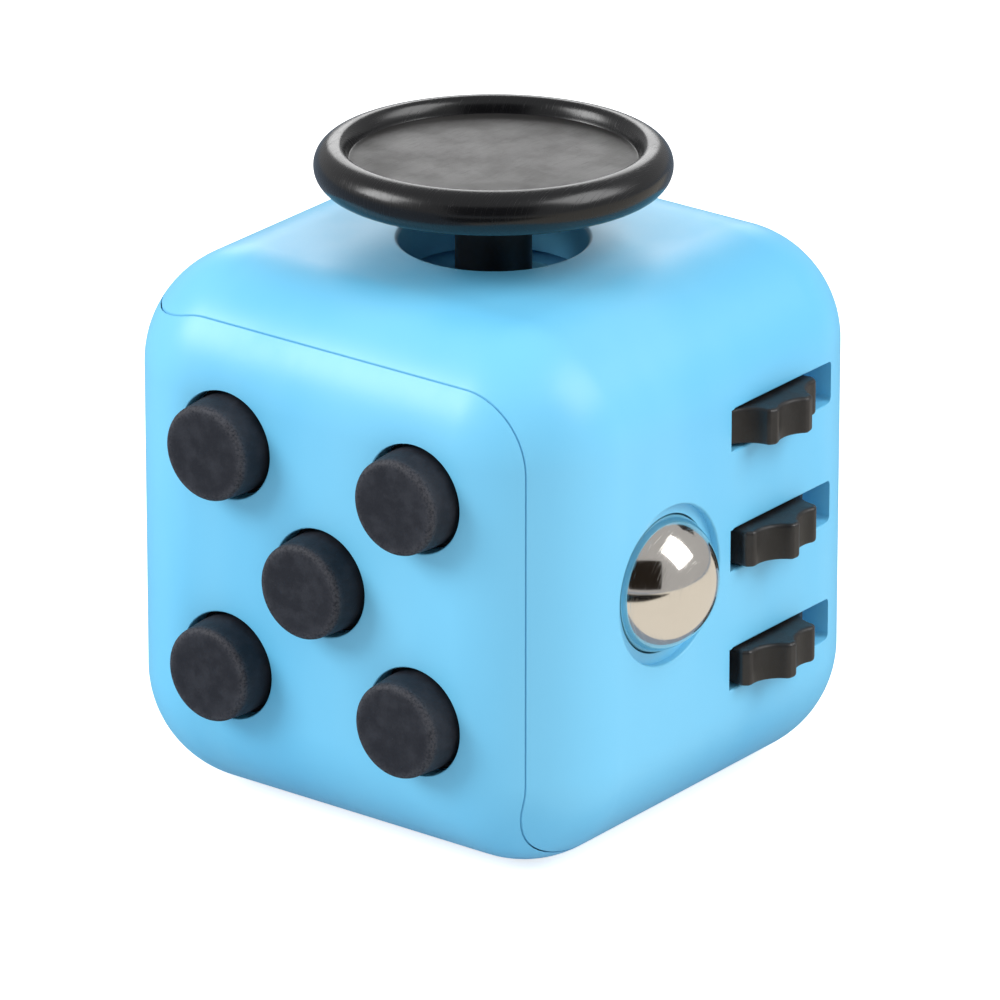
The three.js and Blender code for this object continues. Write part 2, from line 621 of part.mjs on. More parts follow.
function clickLeaf() {
  let leaf = solid(block(LEAF_X, LEAF_Y, LEAF_Z));
  for (const z of WHEEL_Z) {
    leaf = join(leaf, solid(rod('z', [z - 0.9, z + 0.9], [LEAF_X[0] + 0.25, WHEEL_AXIS[1]], LEAF_PIP_RADIUS, 12)));
  }
  const holes = LEAF_SCREW_Z.map((z) => solid(rod('x', [LEAF_X[0] - 1, LEAF_X[1] + 1], [WHEEL_AXIS[1], z],
    LEAF_SHANK_RADIUS + 0.14, 12)));
  return geometryOf(cut(leaf, ...holes));
}

function buildWheels(parent) {
  const outline = wheelOutline();
  WHEEL_NAMES.forEach((name, index) => {
    const geometry = new THREE.ExtrudeGeometry(outline, {
      depth: WHEEL_THICKNESS, bevelEnabled: false, curveSegments: 8,
    });
    geometry.translate(0, 0, -WHEEL_THICKNESS / 2);
    const wheel = piece(parent, name, geometry, plastic(WHEEL_BLACK, 0.45), [...WHEEL_AXIS, WHEEL_Z[index]]);
    wheel.rotation.z = THREE.MathUtils.degToRad(WHEEL_PHASES[index]);
  });
  piece(parent, 'wheel_pin', rod('z', WHEEL_PIN_Z, WHEEL_AXIS, WHEEL_PIN_RADIUS, 20), metal(STEEL));
  piece(parent, 'wheel_click_leaf', clickLeaf(), metal(SPRING_STEEL));
  LEAF_SCREW_Z.forEach((z, index) => {
    piece(parent, `leaf_screw_${index + 1}`, aim(screw(LEAF_HEAD_RADIUS, LEAF_SHANK_RADIUS, LEAF_SCREW_LENGTH), 'x'), metal(STEEL),
      [LEAF_X[0], WHEEL_AXIS[1], z]);
  });
}

// ---------------------------------------------------------------- dial

/** The dial around +Y, with a hub that passes through the back wall and a dimple for a fingertip. */
function dialBody() {
  const [faceIn, faceOut] = DIAL_Y;
  const edge = 0.5;
  const profile = [
    [0, faceIn + 0.9], [DIAL_BORE, faceIn + 0.9], [DIAL_BORE, DIAL_HUB_END_Y], [DIAL_HUB_RADIUS, DIAL_HUB_END_Y],
    [DIAL_HUB_RADIUS, faceIn], [DIAL_RADIUS, faceIn],
    ...arc([DIAL_RADIUS - edge, faceOut - edge], edge, 0, 90, 2),
    [0, faceOut],
  ];
  const dimpleSphere = (DIMPLE_RADIUS ** 2 + DIMPLE_DEPTH ** 2) / (2 * DIMPLE_DEPTH);
  const dimple = new THREE.SphereGeometry(dimpleSphere, 24, 16);
  dimple.translate(0, faceOut - DIMPLE_DEPTH + dimpleSphere, DIMPLE_OFFSET);
  return geometryOf(cut(solid(turned(profile, 'y', 36)), solid(dimple)));
}

function buildDial(parent) {
  const dial = new THREE.Group();
  dial.position.set(0, 0, HALF);
  piece(dial, 'dial', dialBody(), plastic(GLOSS_BLACK, 0.3));
  const washerBore = 0.76;
  piece(dial, 'dial_washer', turned([
    [washerBore, WASHER_Y[0]], [WASHER_RADIUS, WASHER_Y[0]], [WASHER_RADIUS, WASHER_Y[1]],
    [washerBore, WASHER_Y[1]], [washerBore, WASHER_Y[0]],
  ], 'y', 20), metal(STEEL));
  piece(dial, 'dial_screw', screw(1.6, 0.66, 3.2), metal(STEEL), [0, WASHER_Y[0], 0]);
  parent.add(dial);
}

// ---------------------------------------------------------------- flip switch

/** The paddle: drawn in the plane across its pin, where -x points out of the cube. */
function rockerPaddle() {
  const shape = new THREE.Shape();
  const outline = [
    [0.6, -6.1], [4.4, -5.9], [4, -4], [3.55, -2], [3.4, 0], [3.55, 2], [4, 4], [4.4, 5.9], [0.6, 6.1],
    [0.6, 2], [-0.8, 1.9], [NIB_END, 1.5], [NIB_END, -1.5], [-0.8, -1.9], [0.6, -2],
  ];
  outline.forEach(([out, along], index) => {
    if (index === 0) shape.moveTo(-out, along);
    else shape.lineTo(-out, along);
  });
  const geometry = new THREE.ExtrudeGeometry(shape, { depth: ROCKER_WIDTH, bevelEnabled: false });
  geometry.translate(0, 0, -ROCKER_WIDTH / 2);
  geometry.rotateX(Math.PI / 2);
  const pinHole = rod('y', [-ROCKER_WIDTH, ROCKER_WIDTH], [0, 0], ROCKER_PIN_RADIUS + 0.05, 20);
  const plungerHole = rod('x', [-PLUNGER_BORE_END, -NIB_END + 1], [0, 0], PLUNGER_BORE, 16);
  return geometryOf(cut(solid(geometry), solid(pinHole), solid(plungerHole)));
}

function rockerBracket() {
  const [inner, outer] = BRACKET_CHEEK_Y;
  const heights = [HALF - BRACKET_HALF_HEIGHT, HALF + BRACKET_HALF_HEIGHT];
  const earHeights = [HALF - BRACKET_EAR_HALF_HEIGHT, HALF + BRACKET_EAR_HALF_HEIGHT];
  let bracket = solid(block([BRACKET_BACK_X - BRACKET_WALL, BRACKET_BACK_X], [-outer, outer], heights));
  for (const side of [-1, 1]) {
    const cheekY = [inner * side, outer * side].sort((a, b) => a - b);
    const flangeZ = [BRACKET_HALF_HEIGHT - 0.3, BRACKET_FLANGE_END].map((offset) => HALF + side * offset);
    flangeZ.sort((a, b) => a - b);
    bracket = join(bracket,
      solid(block([BRACKET_FRONT_X, BRACKET_BACK_X], cheekY, heights)),
      solid(block([BRACKET_EAR_X, BRACKET_FRONT_X + 1], cheekY, earHeights)),
      solid(block([BRACKET_FRONT_X, BRACKET_FRONT_X + BRACKET_WALL], [-outer, outer], flangeZ)));
  }
  const pinHole = solid(rod('y', [-outer - 1, outer + 1], [ROCKER_PIVOT[0], ROCKER_PIVOT[2]],
    ROCKER_PIN_RADIUS + 0.03, 20));
  const screwHoles = [-1, 1].map((side) => solid(rod('x', [BRACKET_FRONT_X - 1, BRACKET_FRONT_X + 2],
    [0, HALF + side * ROCKER_SCREW_OFFSET], 0.8, 14)));
  return geometryOf(cut(bracket, pinHole, ...screwHoles));
}

function buildRocker(parent) {
  const rocker = new THREE.Group();
  rocker.position.set(...ROCKER_PIVOT);
  rocker.rotation.y = THREE.MathUtils.degToRad(ROCKER_REST_TILT);
  piece(rocker, 'rocker', rockerPaddle(), plastic(GLOSS_BLACK, 0.35));
  const springSpan = 1.6;
  piece(rocker, 'rocker_plunger_spring', aim(spring(0.62, 0.62, springSpan, 3, 0.12, 8), 'x'),
    metal(SPRING_STEEL), [-PLUNGER_BORE_END, 0, 0]);
  const plungerRadius = 0.86;
  const plungerStart = -PLUNGER_BORE_END + springSpan + 0.04;
  piece(rocker, 'rocker_plunger', turned([
    [0, plungerStart], [plungerRadius, plungerStart],
    ...arc([0, 4.5 - plungerRadius], plungerRadius, 0, 75, 3),
    [0, 4.5],
  ], 'x', 16), metal(STEEL));
  parent.add(rocker);

  piece(parent, 'rocker_pin', rod('y', [-BRACKET_CHEEK_Y[1], BRACKET_CHEEK_Y[1]],
    [ROCKER_PIVOT[0], ROCKER_PIVOT[2]], ROCKER_PIN_RADIUS, 18), metal(STEEL));
  piece(parent, 'rocker_bracket', rockerBracket(), plastic(INNER_BLACK, 0.5));
  [-1, 1].forEach((side, index) => {
    const geometry = screw(1.4, 0.66, 3.1);
    geometry.rotateZ(Math.PI / 2);
    piece(parent, `bracket_screw_${index + 1}`, geometry, metal(STEEL),
      [BRACKET_FRONT_X + BRACKET_WALL, 0, HALF + side * ROCKER_SCREW_OFFSET]);
  });
}

// ---------------------------------------------------------------- assembly

const group = new THREE.Group();
buildShell(group);
buildButtons(group);
buildJoystick(group);
buildBall(group);
buildWheels(group);
buildDial(group);
buildRocker(group);

export default group;
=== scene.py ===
"""Looks for a fidget cube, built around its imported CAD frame.

Every size here is in millimetres, in the frame's own axes: +Z is up, the five-button face looks along -Y,
the ball and the wheels are on +X and the gliding joystick is on top. A mesh is scaled to metres as it is
finished.
"""

from __future__ import annotations

import logging
import math
import sys
from collections.abc import Callable, Sequence
from dataclasses import dataclass
from enum import Enum

import bmesh
import bpy
from mathutils import Matrix, Vector


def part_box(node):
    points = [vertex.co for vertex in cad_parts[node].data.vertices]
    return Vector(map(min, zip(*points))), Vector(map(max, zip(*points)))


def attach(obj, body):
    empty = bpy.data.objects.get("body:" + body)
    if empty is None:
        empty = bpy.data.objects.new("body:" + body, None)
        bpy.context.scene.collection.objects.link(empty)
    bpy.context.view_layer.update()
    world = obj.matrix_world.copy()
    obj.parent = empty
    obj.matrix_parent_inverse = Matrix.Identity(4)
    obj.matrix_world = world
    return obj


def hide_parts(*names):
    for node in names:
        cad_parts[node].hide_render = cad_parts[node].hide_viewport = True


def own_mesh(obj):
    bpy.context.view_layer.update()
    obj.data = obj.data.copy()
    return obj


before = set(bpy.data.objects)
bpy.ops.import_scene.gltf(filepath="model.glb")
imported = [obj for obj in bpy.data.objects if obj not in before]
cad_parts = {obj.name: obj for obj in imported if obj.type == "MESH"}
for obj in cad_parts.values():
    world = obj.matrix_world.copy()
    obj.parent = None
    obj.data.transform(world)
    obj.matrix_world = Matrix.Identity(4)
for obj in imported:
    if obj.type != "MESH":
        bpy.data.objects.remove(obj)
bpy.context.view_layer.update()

MM = 0.001
SCREW_HEAD = 0.8  # the height of every screw's head
SHANK_GAP = 0.06  # the room round a screw in its hole
BITE = 0.1  # how far an added solid reaches into what it joins
log = logging.getLogger("fidget_cube")

Mesh = bpy.types.Mesh
Object = bpy.types.Object
Material = bpy.types.Material
Profile = list[tuple[float, float]]
Outline = Callable[[float], Profile]


# ------------------------------------------------------------------ node graphs


class Signal:
    """One output of a node, with arithmetic that adds Math nodes."""

    def __init__(self, graph: Graph, socket: bpy.types.NodeSocket) -> None:
        """Wraps a socket.

        Args:
            graph: The graph that the socket's node is in.
            socket: The output socket.
        """
        self.graph = graph
        self.socket = socket

    def _math(self, operation: str, *values: Signal | float) -> Signal:
        """Adds a Math node that works on the given values in order."""
        return self.graph.node(
            "ShaderNodeMath", {"operation": operation}, dict(enumerate(values))
        )

    def __add__(self, other: Signal | float) -> Signal:
        """self + other."""
        return self._math("ADD", self, other)

    __radd__ = __add__

    def __sub__(self, other: Signal | float) -> Signal:
        """self - other."""
        return self._math("SUBTRACT", self, other)

    def __rsub__(self, other: Signal | float) -> Signal:
        """other - self."""
        return self._math("SUBTRACT", other, self)

    def __mul__(self, other: Signal | float) -> Signal:
        """self * other."""
        return self._math("MULTIPLY", self, other)

    __rmul__ = __mul__

    def __truediv__(self, other: Signal | float) -> Signal:
        """self / other."""
        return self._math("DIVIDE", self, other)

    def __rtruediv__(self, other: Signal | float) -> Signal:
        """other / self."""
        return self._math("DIVIDE", other, self)

    def __lt__(self, other: Signal | float) -> Signal:
        """1 where self is below other, else 0."""
        return self._math("LESS_THAN", self, other)

    def sine(self) -> Signal:
        """The sine of the value."""
        return self._math("SINE", self)

    def largest(self, other: Signal | float) -> Signal:
        """The larger of two values."""
        return self._math("MAXIMUM", self, other)

    def smallest(self, other: Signal | float) -> Signal:
        """The smaller of two values."""
        return self._math("MINIMUM", self, other)

    def rise(self, start: float, end: float) -> Signal:
        """A smooth step.

        Args:
            start: The value at which the result is 0.
            end: The value at which the result is 1.

        Returns:
            The stepped signal.
        """
        settings = {"interpolation_type": "SMOOTHSTEP"}
        return self.graph.node("ShaderNodeMapRange", settings, {0: self, 1: start, 2: end})


class Graph:
    """Adds nodes to a node tree and links them."""

    def __init__(self, tree: bpy.types.NodeTree) -> None:
        """Takes the tree that the nodes go into."""
        self.tree = tree

    def node(
        self,
        kind: str,
        settings: dict[str, object] | None = None,
        inputs: dict[int | str, object] | None = None,
        output: int | str = 0,
    ) -> Signal:
        """Adds one node.

        Args:
            kind: The node's type.
            settings: Its properties, which are set first.
            inputs: A value or a signal for each input, by name or number.
            output: The output to hand back.

        Returns:
            The chosen output.
        """
        made = self.tree.nodes.new(kind)
        for name, value in (settings or {}).items():
            setattr(made, name, value)
        for key, value in (inputs or {}).items():
            self.feed(made.inputs[key], value)
        return Signal(self, made.outputs[output] if made.outputs else None)

    def feed(self, socket: bpy.types.NodeSocket, value: object) -> None:
        """Links a signal to a socket, or sets the socket's own value."""
        if isinstance(value, Signal):
            self.tree.links.new(value.socket, socket)
        else:
            socket.default_value = value


Colour = tuple[float, float, float, float]


def colour(red: float, green: float, blue: float) -> Colour:
    """A linear colour with full alpha."""
    return (red, green, blue, 1.0)


class SurfaceGraph(Graph):
    """A material's nodes, with patterns measured in millimetres on Object coordinates."""

    def __init__(self, material: Material) -> None:
        """Clears a material's nodes and starts again."""
        material.use_nodes = True
        material.node_tree.nodes.clear()
        super().__init__(material.node_tree)
        self.place = self.node("ShaderNodeTexCoord", output="Object")

    def stretched(self, scale: Sequence[float], turn: Sequence[float] = (0, 0, 0)) -> Signal:
        """Object coordinates turned by degrees and scaled along each axis."""
        angles = [math.radians(angle) for angle in turn]
        return self.node(
            "ShaderNodeMapping",
            inputs={"Vector": self.place, "Rotation": angles, "Scale": scale},
        )

    def noise(
        self, grain: float, detail: float = 2, rough: float = 0.5, place: Signal | None = None
    ) -> Signal:
        """Smooth noise.

        Args:
            grain: The size of one blotch, in millimetres.
            detail: How many finer layers are added.
            rough: How strong those layers are.
            place: Other coordinates than the piece's own.

        Returns:
            The noise, around 0.5.
        """
        inputs = {"Vector": place or self.place, "Scale": 1 / (grain * MM), "Detail": detail}
        return self.node("ShaderNodeTexNoise", inputs={**inputs, "Roughness": rough})

    def specks(self, spacing: float, reach: float) -> Signal:
        """Small round specks: 1 at a speck's middle, 0 a reach away as a share of the spacing."""
        cells = self.node(
            "ShaderNodeTexVoronoi", inputs={"Vector": self.place, "Scale": 1 / (spacing * MM)}
        )
        return 1 - cells.rise(0.0, reach)

    def scratches(self, angle: float, width: float = 0.05, length: float = 3.0) -> Signal:
        """Fine straight marks that run one way: 1 on a mark, 0 elsewhere."""
        across, along = 1 / width, 1 / length
        place = self.stretched((across, along, along), (angle, angle * 0.7, angle))
        inputs = {"Vector": place, "Scale": 1 / MM, "Detail": 1}
        return self.node("ShaderNodeTexNoise", inputs=inputs).rise(0.66, 0.74)

    def painted(self, name: str) -> Signal:
        """A value that the mesh carries on its points."""
        return self.node("ShaderNodeAttribute", {"attribute_name": name}, output="Fac")

    def mix(self, first: Colour | Signal, second: Colour | Signal, share: Signal) -> Signal:
        """One colour where the share is 0, the other where it is 1."""
        settings = {"data_type": "RGBA", "clamp_factor": True}
        return self.node("ShaderNodeMix", settings, {0: share, 6: first, 7: second}, 2)

    def bump(self, height: Signal, depth: float) -> Signal:
        """A bumped normal whose height of 1 stands a depth proud, in millimetres."""
        return self.node("ShaderNodeBump", inputs={"Distance": depth * MM, "Height": height})

    def close(self, inputs: dict[str, object]) -> None:
        """Ends the graph in a Principled shader with these inputs."""
        shader = self.node("ShaderNodeBsdfPrincipled", inputs=inputs)
        self.node("ShaderNodeOutputMaterial", inputs={"Surface": shader})


# ------------------------------------------------------------------ finishes


@dataclass(frozen=True)
class Finish:
    """A finish: its material is made once, and it names the record's slot that it stands for."""

    name: str
    slot: str

    def draw(self, graph: SurfaceGraph) -> None:
        """Draws the finish's nodes."""
        raise NotImplementedError

    def material(self) -> Material:
        """The finish's material, made the first time that it is asked for."""
        found = bpy.data.materials.get(self.name)
        if found is None:
            found = bpy.data.materials.new(self.name)
            self.draw(SurfaceGraph(found))
        return found


@dataclass(frozen=True)
class ShellPlastic(Finish):
    """Light-blue moulded plastic, satin, with faint flow marks and handling marks."""

    light: Colour = colour(0.185, 0.605, 0.900)
    deep: Colour = colour(0.145, 0.560, 0.880)
    dust: Colour = colour(0.420, 0.740, 0.930)
    roughness: float = 0.37

    def draw(self, graph: SurfaceGraph) -> None:
        """Draws flow marks, a little dust, smudges and a fine orange peel."""
        flow = graph.noise(14, 3, place=graph.stretched((1, 1, 0.35)))
        specks = graph.specks(2.6, 0.022) * graph.noise(3).rise(0.5, 0.7)
        base = graph.mix(self.deep, self.light, flow.rise(0.32, 0.66))
        base = graph.mix(base, self.dust, specks * 0.5)
        smudge = graph.noise(5, 4, 0.6).rise(0.45, 0.75)
        marks = graph.scratches(24).largest(graph.scratches(-52, 0.04, 2.2))
        peel = graph.noise(0.55, 2)
        grain = graph.noise(0.07, 1)
        height = peel * 0.5 + grain * 0.16 - marks * 0.25
        graph.close(
            {
                "Base Color": base,
                "Roughness": self.roughness + smudge * 0.07 + marks * 0.06,
                "Normal": graph.bump(height, 0.004),
                "IOR": 1.5,
                "Specular IOR Level": 0.5,
            }
        )


@dataclass(frozen=True)
class ButtonRubber(Finish):
    """Soft matte charcoal rubber with dust specks and a pale rounded rim, which is partly dust and partly a
    painted edge highlight.
    """

    body: Colour = colour(0.012, 0.0135, 0.0205)
    faded: Colour = colour(0.026, 0.029, 0.039)
    # Pale tone for the dust specks, and also for the painted edge highlight along the rim.
    dust: Colour = colour(0.20, 0.205, 0.23)

    def draw(self, graph: SurfaceGraph) -> None:
        """Draws blotches, dust specks and a pale rim where the mesh marks the rounded edge: dust there, and a
        painted edge highlight.
        """
        # The mesh's mask of the rounded rim, where a painted edge highlight and some dust are laid.
        wear_and_edge_highlight = graph.painted("wear_and_edge_highlight")
        blotch = graph.noise(1.1, 4, 0.62).rise(0.38, 0.7)
        fine = graph.noise(0.16, 3, 0.7)
        specks = graph.specks(0.34, 0.16) * graph.noise(0.7, 2).rise(0.5, 0.68)
        base = graph.mix(self.body, self.faded, blotch * 0.8 + fine * 0.2)
        # Pale share: a painted edge highlight with dust along the rim, plus dust specks all over.
        pale = wear_and_edge_highlight * fine.rise(0.3, 0.62) * 0.2 + specks * 0.12
        graph.close(
            {
                "Base Color": graph.mix(base, self.dust, pale),
                "Roughness": 0.62 + blotch * 0.12,
                "Normal": graph.bump(fine * 0.7 + graph.noise(0.06, 1) * 0.3, 0.022),
                "Specular IOR Level": 0.3,
            }
        )


@dataclass(frozen=True)
class GlossBlack(Finish):
    """Black plastic, glossy, with a satin area where the mesh says so."""

    body: Colour = colour(0.004, 0.0042, 0.0052)
    satin: Colour = colour(0.020, 0.019, 0.018)
    dust: Colour = colour(0.16, 0.16, 0.165)
    roughness: float = 0.23

    def draw(self, graph: SurfaceGraph) -> None:
        """Draws smudges, hairline scratches and the mottled satin area."""
        satin = graph.painted("satin")
        mottle = graph.noise(2.4, 5, 0.66).rise(0.36, 0.68)
        smudge = graph.noise(4, 3).rise(0.4, 0.75)
        marks = graph.scratches(31, 0.03, 2.0).largest(graph.scratches(-67, 0.03, 2.6))
        specks = graph.specks(0.9, 0.05) * graph.noise(1.6).rise(0.52, 0.7)
        base = graph.mix(self.body, self.satin, satin * (0.55 + mottle * 0.45))
        rough = self.roughness + smudge * 0.06 + marks * 0.12
        fine = graph.noise(0.09, 2) * satin
        graph.close(
            {
                "Base Color": graph.mix(base, self.dust, specks * 0.45),
                "Roughness": rough + satin * (0.20 + mottle * 0.08),
                "Normal": graph.bump(fine + marks * -0.2 + graph.noise(0.9) * 0.3, 0.006),
            }
        )


@dataclass(frozen=True)
class WheelBlack(Finish):
    """Black-brown moulded plastic with a satin skin and polished tooth tips."""

    body: Colour = colour(0.0085, 0.0078, 0.008)
    rubbed: Colour = colour(0.026, 0.024, 0.024)

    def draw(self, graph: SurfaceGraph) -> None:
        """Draws the moulding grain and the rubbed tips."""
        # Here the mask marks the rubbed tooth tips: wear only.
        wear_and_edge_highlight = graph.painted("wear_and_edge_highlight")
        blotch = graph.noise(0.9, 4, 0.6).rise(0.36, 0.7)
        fine = graph.noise(0.1, 2, 0.6)
        base = graph.mix(self.body, self.rubbed, blotch * 0.4 + wear_and_edge_highlight * 0.5)
        graph.close(
            {
                "Base Color": base,
                "Roughness": 0.44 + blotch * 0.1 - wear_and_edge_highlight * 0.12,
                "Normal": graph.bump(fine, 0.010),
            }
        )


@dataclass(frozen=True)
class PolishedSteel(Finish):
    """Polished warm steel with faint smudges and hairline scratches."""

    body: Colour = colour(0.83, 0.79, 0.74)
    shade: Colour = colour(0.74, 0.70, 0.65)
    roughness: float = 0.09

    def draw(self, graph: SurfaceGraph) -> None:
        """Draws smudges and scratches on bare metal."""
        smudge = graph.noise(2.2, 4, 0.6).rise(0.4, 0.8)
        marks = graph.scratches(15, 0.02, 2.4).largest(graph.scratches(-48, 0.02, 1.6))
        graph.close(
            {
                "Base Color": graph.mix(self.body, self.shade, smudge * 0.4),
                "Metallic": 1.0,
                "Roughness": self.roughness + smudge * 0.05 + marks * 0.10,
                "Normal": graph.bump(marks * -0.4 + graph.noise(0.3) * 0.1, 0.002),
            }
        )


@dataclass(frozen=True)
class InnerPlastic(Finish):
    """Dark moulded plastic of the parts inside."""

    body: Colour = colour(0.018, 0.019, 0.022)
    pale: Colour = colour(0.040, 0.041, 0.045)

    def draw(self, graph: SurfaceGraph) -> None:
        """Draws flow marks and a spark-eroded grain."""
        flow = graph.noise(5, 3).rise(0.35, 0.7)
        grain = graph.noise(0.12, 3, 0.65)
        graph.close(
            {
                "Base Color": graph.mix(self.body, self.pale, flow * 0.6 + grain * 0.3),
                "Roughness": 0.46 + grain * 0.16,
                "Normal": graph.bump(grain, 0.014),
            }
        )


@dataclass(frozen=True)
class WireSteel(Finish):
    """Drawn or rolled spring steel."""

    body: Colour = colour(0.44, 0.44, 0.43)
    dark: Colour = colour(0.22, 0.22, 0.23)

    def draw(self, graph: SurfaceGraph) -> None:
        """Draws long drawing marks and darker stains."""
        drawn = graph.noise(0.08, 2, place=graph.stretched((1, 1, 0.1)))
        stain = graph.noise(1.2, 4, 0.6).rise(0.42, 0.75)
        graph.close(
            {
                "Base Color": graph.mix(self.body, self.dark, stain * 0.6 + drawn * 0.2),
                "Metallic": 1.0,
                "Roughness": 0.26 + drawn * 0.18,
                "Normal": graph.bump(drawn, 0.003),
            }
        )


@dataclass(frozen=True)
class ScrewSteel(Finish):
    """Zinc-plated steel with turning marks."""

    body: Colour = colour(0.60, 0.59, 0.56)
    dull: Colour = colour(0.36, 0.36, 0.37)

    def draw(self, graph: SurfaceGraph) -> None:
        """Draws cloudy plating and fine turning marks."""
        cloud = graph.noise(0.7, 4, 0.65).rise(0.38, 0.7)
        turning = graph.noise(0.04, 1)
        graph.close(
            {
                "Base Color": graph.mix(self.body, self.dull, cloud * 0.7),
                "Metallic": 1.0,
                "Roughness": 0.24 + cloud * 0.16,
                "Normal": graph.bump(turning, 0.003),
            }
        )


SHELL_PLASTIC = ShellPlastic("shell_plastic_blue", "shell_plastic")
BUTTON_RUBBER = ButtonRubber("button_rubber_charcoal", "button_rubber")
GLOSS_BLACK = GlossBlack("gloss_black_plastic", "gloss_black")
WHEEL_BLACK = WheelBlack("wheel_black_plastic", "wheel_black")
BALL_STEEL = PolishedSteel("polished_ball_steel", "ball_steel")
INNER_PLASTIC = InnerPlastic("inner_dark_plastic", "inner_plastic")
SPRING_STEEL = WireSteel("spring_steel_wire", "spring_steel")
SCREW_STEEL = ScrewSteel("screw_steel_plated", "screw_steel")


# ------------------------------------------------------------------ mesh tools


class Aim(Enum):
    """Which way a shape that was made around +Z is turned to face: an axis and degrees."""

    UP = ("Z", 0)
    FRONT = ("X", 90)
    BACK = ("X", -90)
    RIGHT = ("Y", 90)
    LEFT = ("Y", -90)

    @property
    def turn(self) -> Matrix:
        """The rotation that turns +Z this way."""
        axis, degrees = self.value
        return Matrix.Rotation(math.radians(degrees), 4, axis)


class Combine(Enum):
    """How closed meshes are combined."""

    JOIN = "UNION"
    CUT = "DIFFERENCE"
    COMMON = "INTERSECT"


def arc(centre: tuple[float, float], radius: float, start: float, end: float, steps: int) -> Profile:
    """Points along an arc.

    Args:
        centre: The arc's centre.
        radius: Its radius.
        start: The first angle, in degrees.
        end: The last angle, in degrees.
        steps: How many steps the arc is cut into.

    Returns:
        The points, both ends included.
    """
    angles = [math.radians(start + (end - start) * step / steps) for step in range(steps + 1)]
    return [(centre[0] + radius * math.cos(a), centre[1] + radius * math.sin(a)) for a in angles]


def circle(radius: float, sides: int = 96) -> Outline:
    """A round outline that grows by the amount it is asked for."""
    return lambda grown: arc((0, 0), radius + grown, 0, 360, sides)[:-1]


def rounded_rectangle(half: tuple[float, float], corner: float, steps: int = 6) -> Outline:
    """A rectangle with rounded corners that grows by the amount it is asked for."""

    def grown_outline(grown: float) -> Profile:
        """The four corner arcs in turn."""
        points: Profile = []
        for quarter, (side_a, side_b) in enumerate(((1, 1), (-1, 1), (-1, -1), (1, -1))):
            middle = (side_a * (half[0] - corner), side_b * (half[1] - corner))
            points += arc(middle, corner + grown, 90 * quarter, 90 * quarter + 90, steps)
        return points

    return grown_outline


def closed_mesh(points: Sequence[Vector], faces: Sequence[Sequence[int]]) -> Mesh:
    """Makes a mesh, merges its double points and turns its faces outwards."""
    mesh = bpy.data.meshes.new("work")
    mesh.from_pydata(points, [], faces)
    work = bmesh.new()
    work.from_mesh(mesh)
    bmesh.ops.remove_doubles(work, verts=work.verts, dist=1e-4)
    bmesh.ops.recalc_face_normals(work, faces=work.faces)
    work.to_mesh(mesh)
    work.free()
    return mesh


def lofted(rings: Sequence[Sequence[Vector]], looped: bool = False) -> Mesh:
    """Joins rings of equal length with quads.

    Args:
        rings: The rings, each a loop of points.
        looped: Whether the last ring meets the first, or both are closed by a flat face.

    Returns:
        The closed mesh.
    """
    count = len(rings[0])
    faces: list[Sequence[int]] = []
    for level in range(len(rings) if looped else len(rings) - 1):
        low, high = level * count, (level + 1) % len(rings) * count
        for i in range(count):
            j = (i + 1) % count
            faces.append((low + i, low + j, high + j, high + i))
    if not looped:
        faces += [tuple(range(count)), tuple(range((len(rings) - 1) * count, len(rings) * count))]
    return closed_mesh([point for ring in rings for point in ring], faces)


def turned(profile: Profile, sides: int = 96, looped: bool = False) -> Mesh:
    """A lathe shape around +Z from (radius, height) points."""
    spokes = [(math.cos(a), math.sin(a)) for a in (2 * math.pi * i / sides for i in range(sides))]
    rings = [[Vector((r * c, r * s, height)) for c, s in spokes] for r, height in profile]
    return lofted(rings, looped)


def prism(outline: Outline, stations: Profile) -> Mesh:
    """A straight shape along +Z from (growth, height) stations of an outline."""
    rings = [[Vector((x, y, height)) for x, y in outline(grown)] for grown, height in stations]
    return lofted(rings)


def rod(outline: Outline, low: float, high: float) -> Mesh:
    """A straight shape of one outline between two heights."""
    return prism(outline, [(0, low), (0, high)])


def block(low: Sequence[float], high: Sequence[float]) -> Mesh:
    """A plain box between two corners."""
    (x_low, y_low, z_low), (x_high, y_high, z_high) = low, high
    corners = ((x_low, y_low), (x_high, y_low), (x_high, y_high), (x_low, y_high))
    return lofted([[Vector((x, y, z)) for x, y in corners] for z in (z_low, z_high)])


def rounded_block(low: Sequence[float], high: Sequence[float], radius: float, steps: int) -> Mesh:
    """A box with rounded edges and corners.

    Args:
        low: Its lowest corner.
        high: Its highest corner.
        radius: The radius of its edges.
        steps: How many steps half of an edge's quarter turn is cut into.

    Returns:
        The closed mesh.
    """
    middle = (Vector(low) + Vector(high)) / 2
    half = (Vector(high) - Vector(low)) / 2
    excess = [radius * math.tan(math.pi / 4 * step / steps) for step in range(steps + 1)]
    points: list[Vector] = []
    faces: list[tuple[int, ...]] = []
    for axis in range(3):
        others = [other for other in range(3) if other != axis]
        lines = []
        for other in others:
            core = half[other] - radius
            lines.append([-core - e for e in reversed(excess)] + [core + e for e in excess])
        for side in (-1, 1):
            start = len(points)
            for u in lines[0]:
                for v in lines[1]:
                    point = Vector((0, 0, 0))
                    point[axis], point[others[0]], point[others[1]] = side * half[axis], u, v
                    inner = Vector(
                        [max(-half[k] + radius, min(half[k] - radius, point[k])) for k in range(3)]
                    )
                    points.append(middle + inner + (point - inner).normalized() * radius)
            wide = len(lines[1])
            for row in range(len(lines[0]) - 1):
                for column in range(wide - 1):
                    corner = start + row * wide + column
                    faces.append((corner, corner + 1, corner + wide + 1, corner + wide))
    return closed_mesh(points, faces)


def placed(mesh: Mesh, aim: Aim = Aim.UP, at: Sequence[float] = (0, 0, 0), spin: float = 0) -> Mesh:
    """Spins a mesh about +Z by degrees, aims it, then moves it."""
    spun = Matrix.Rotation(math.radians(spin), 4, "Z")
    mesh.transform(Matrix.Translation(Vector(at)) @ aim.turn @ spun)
    return mesh


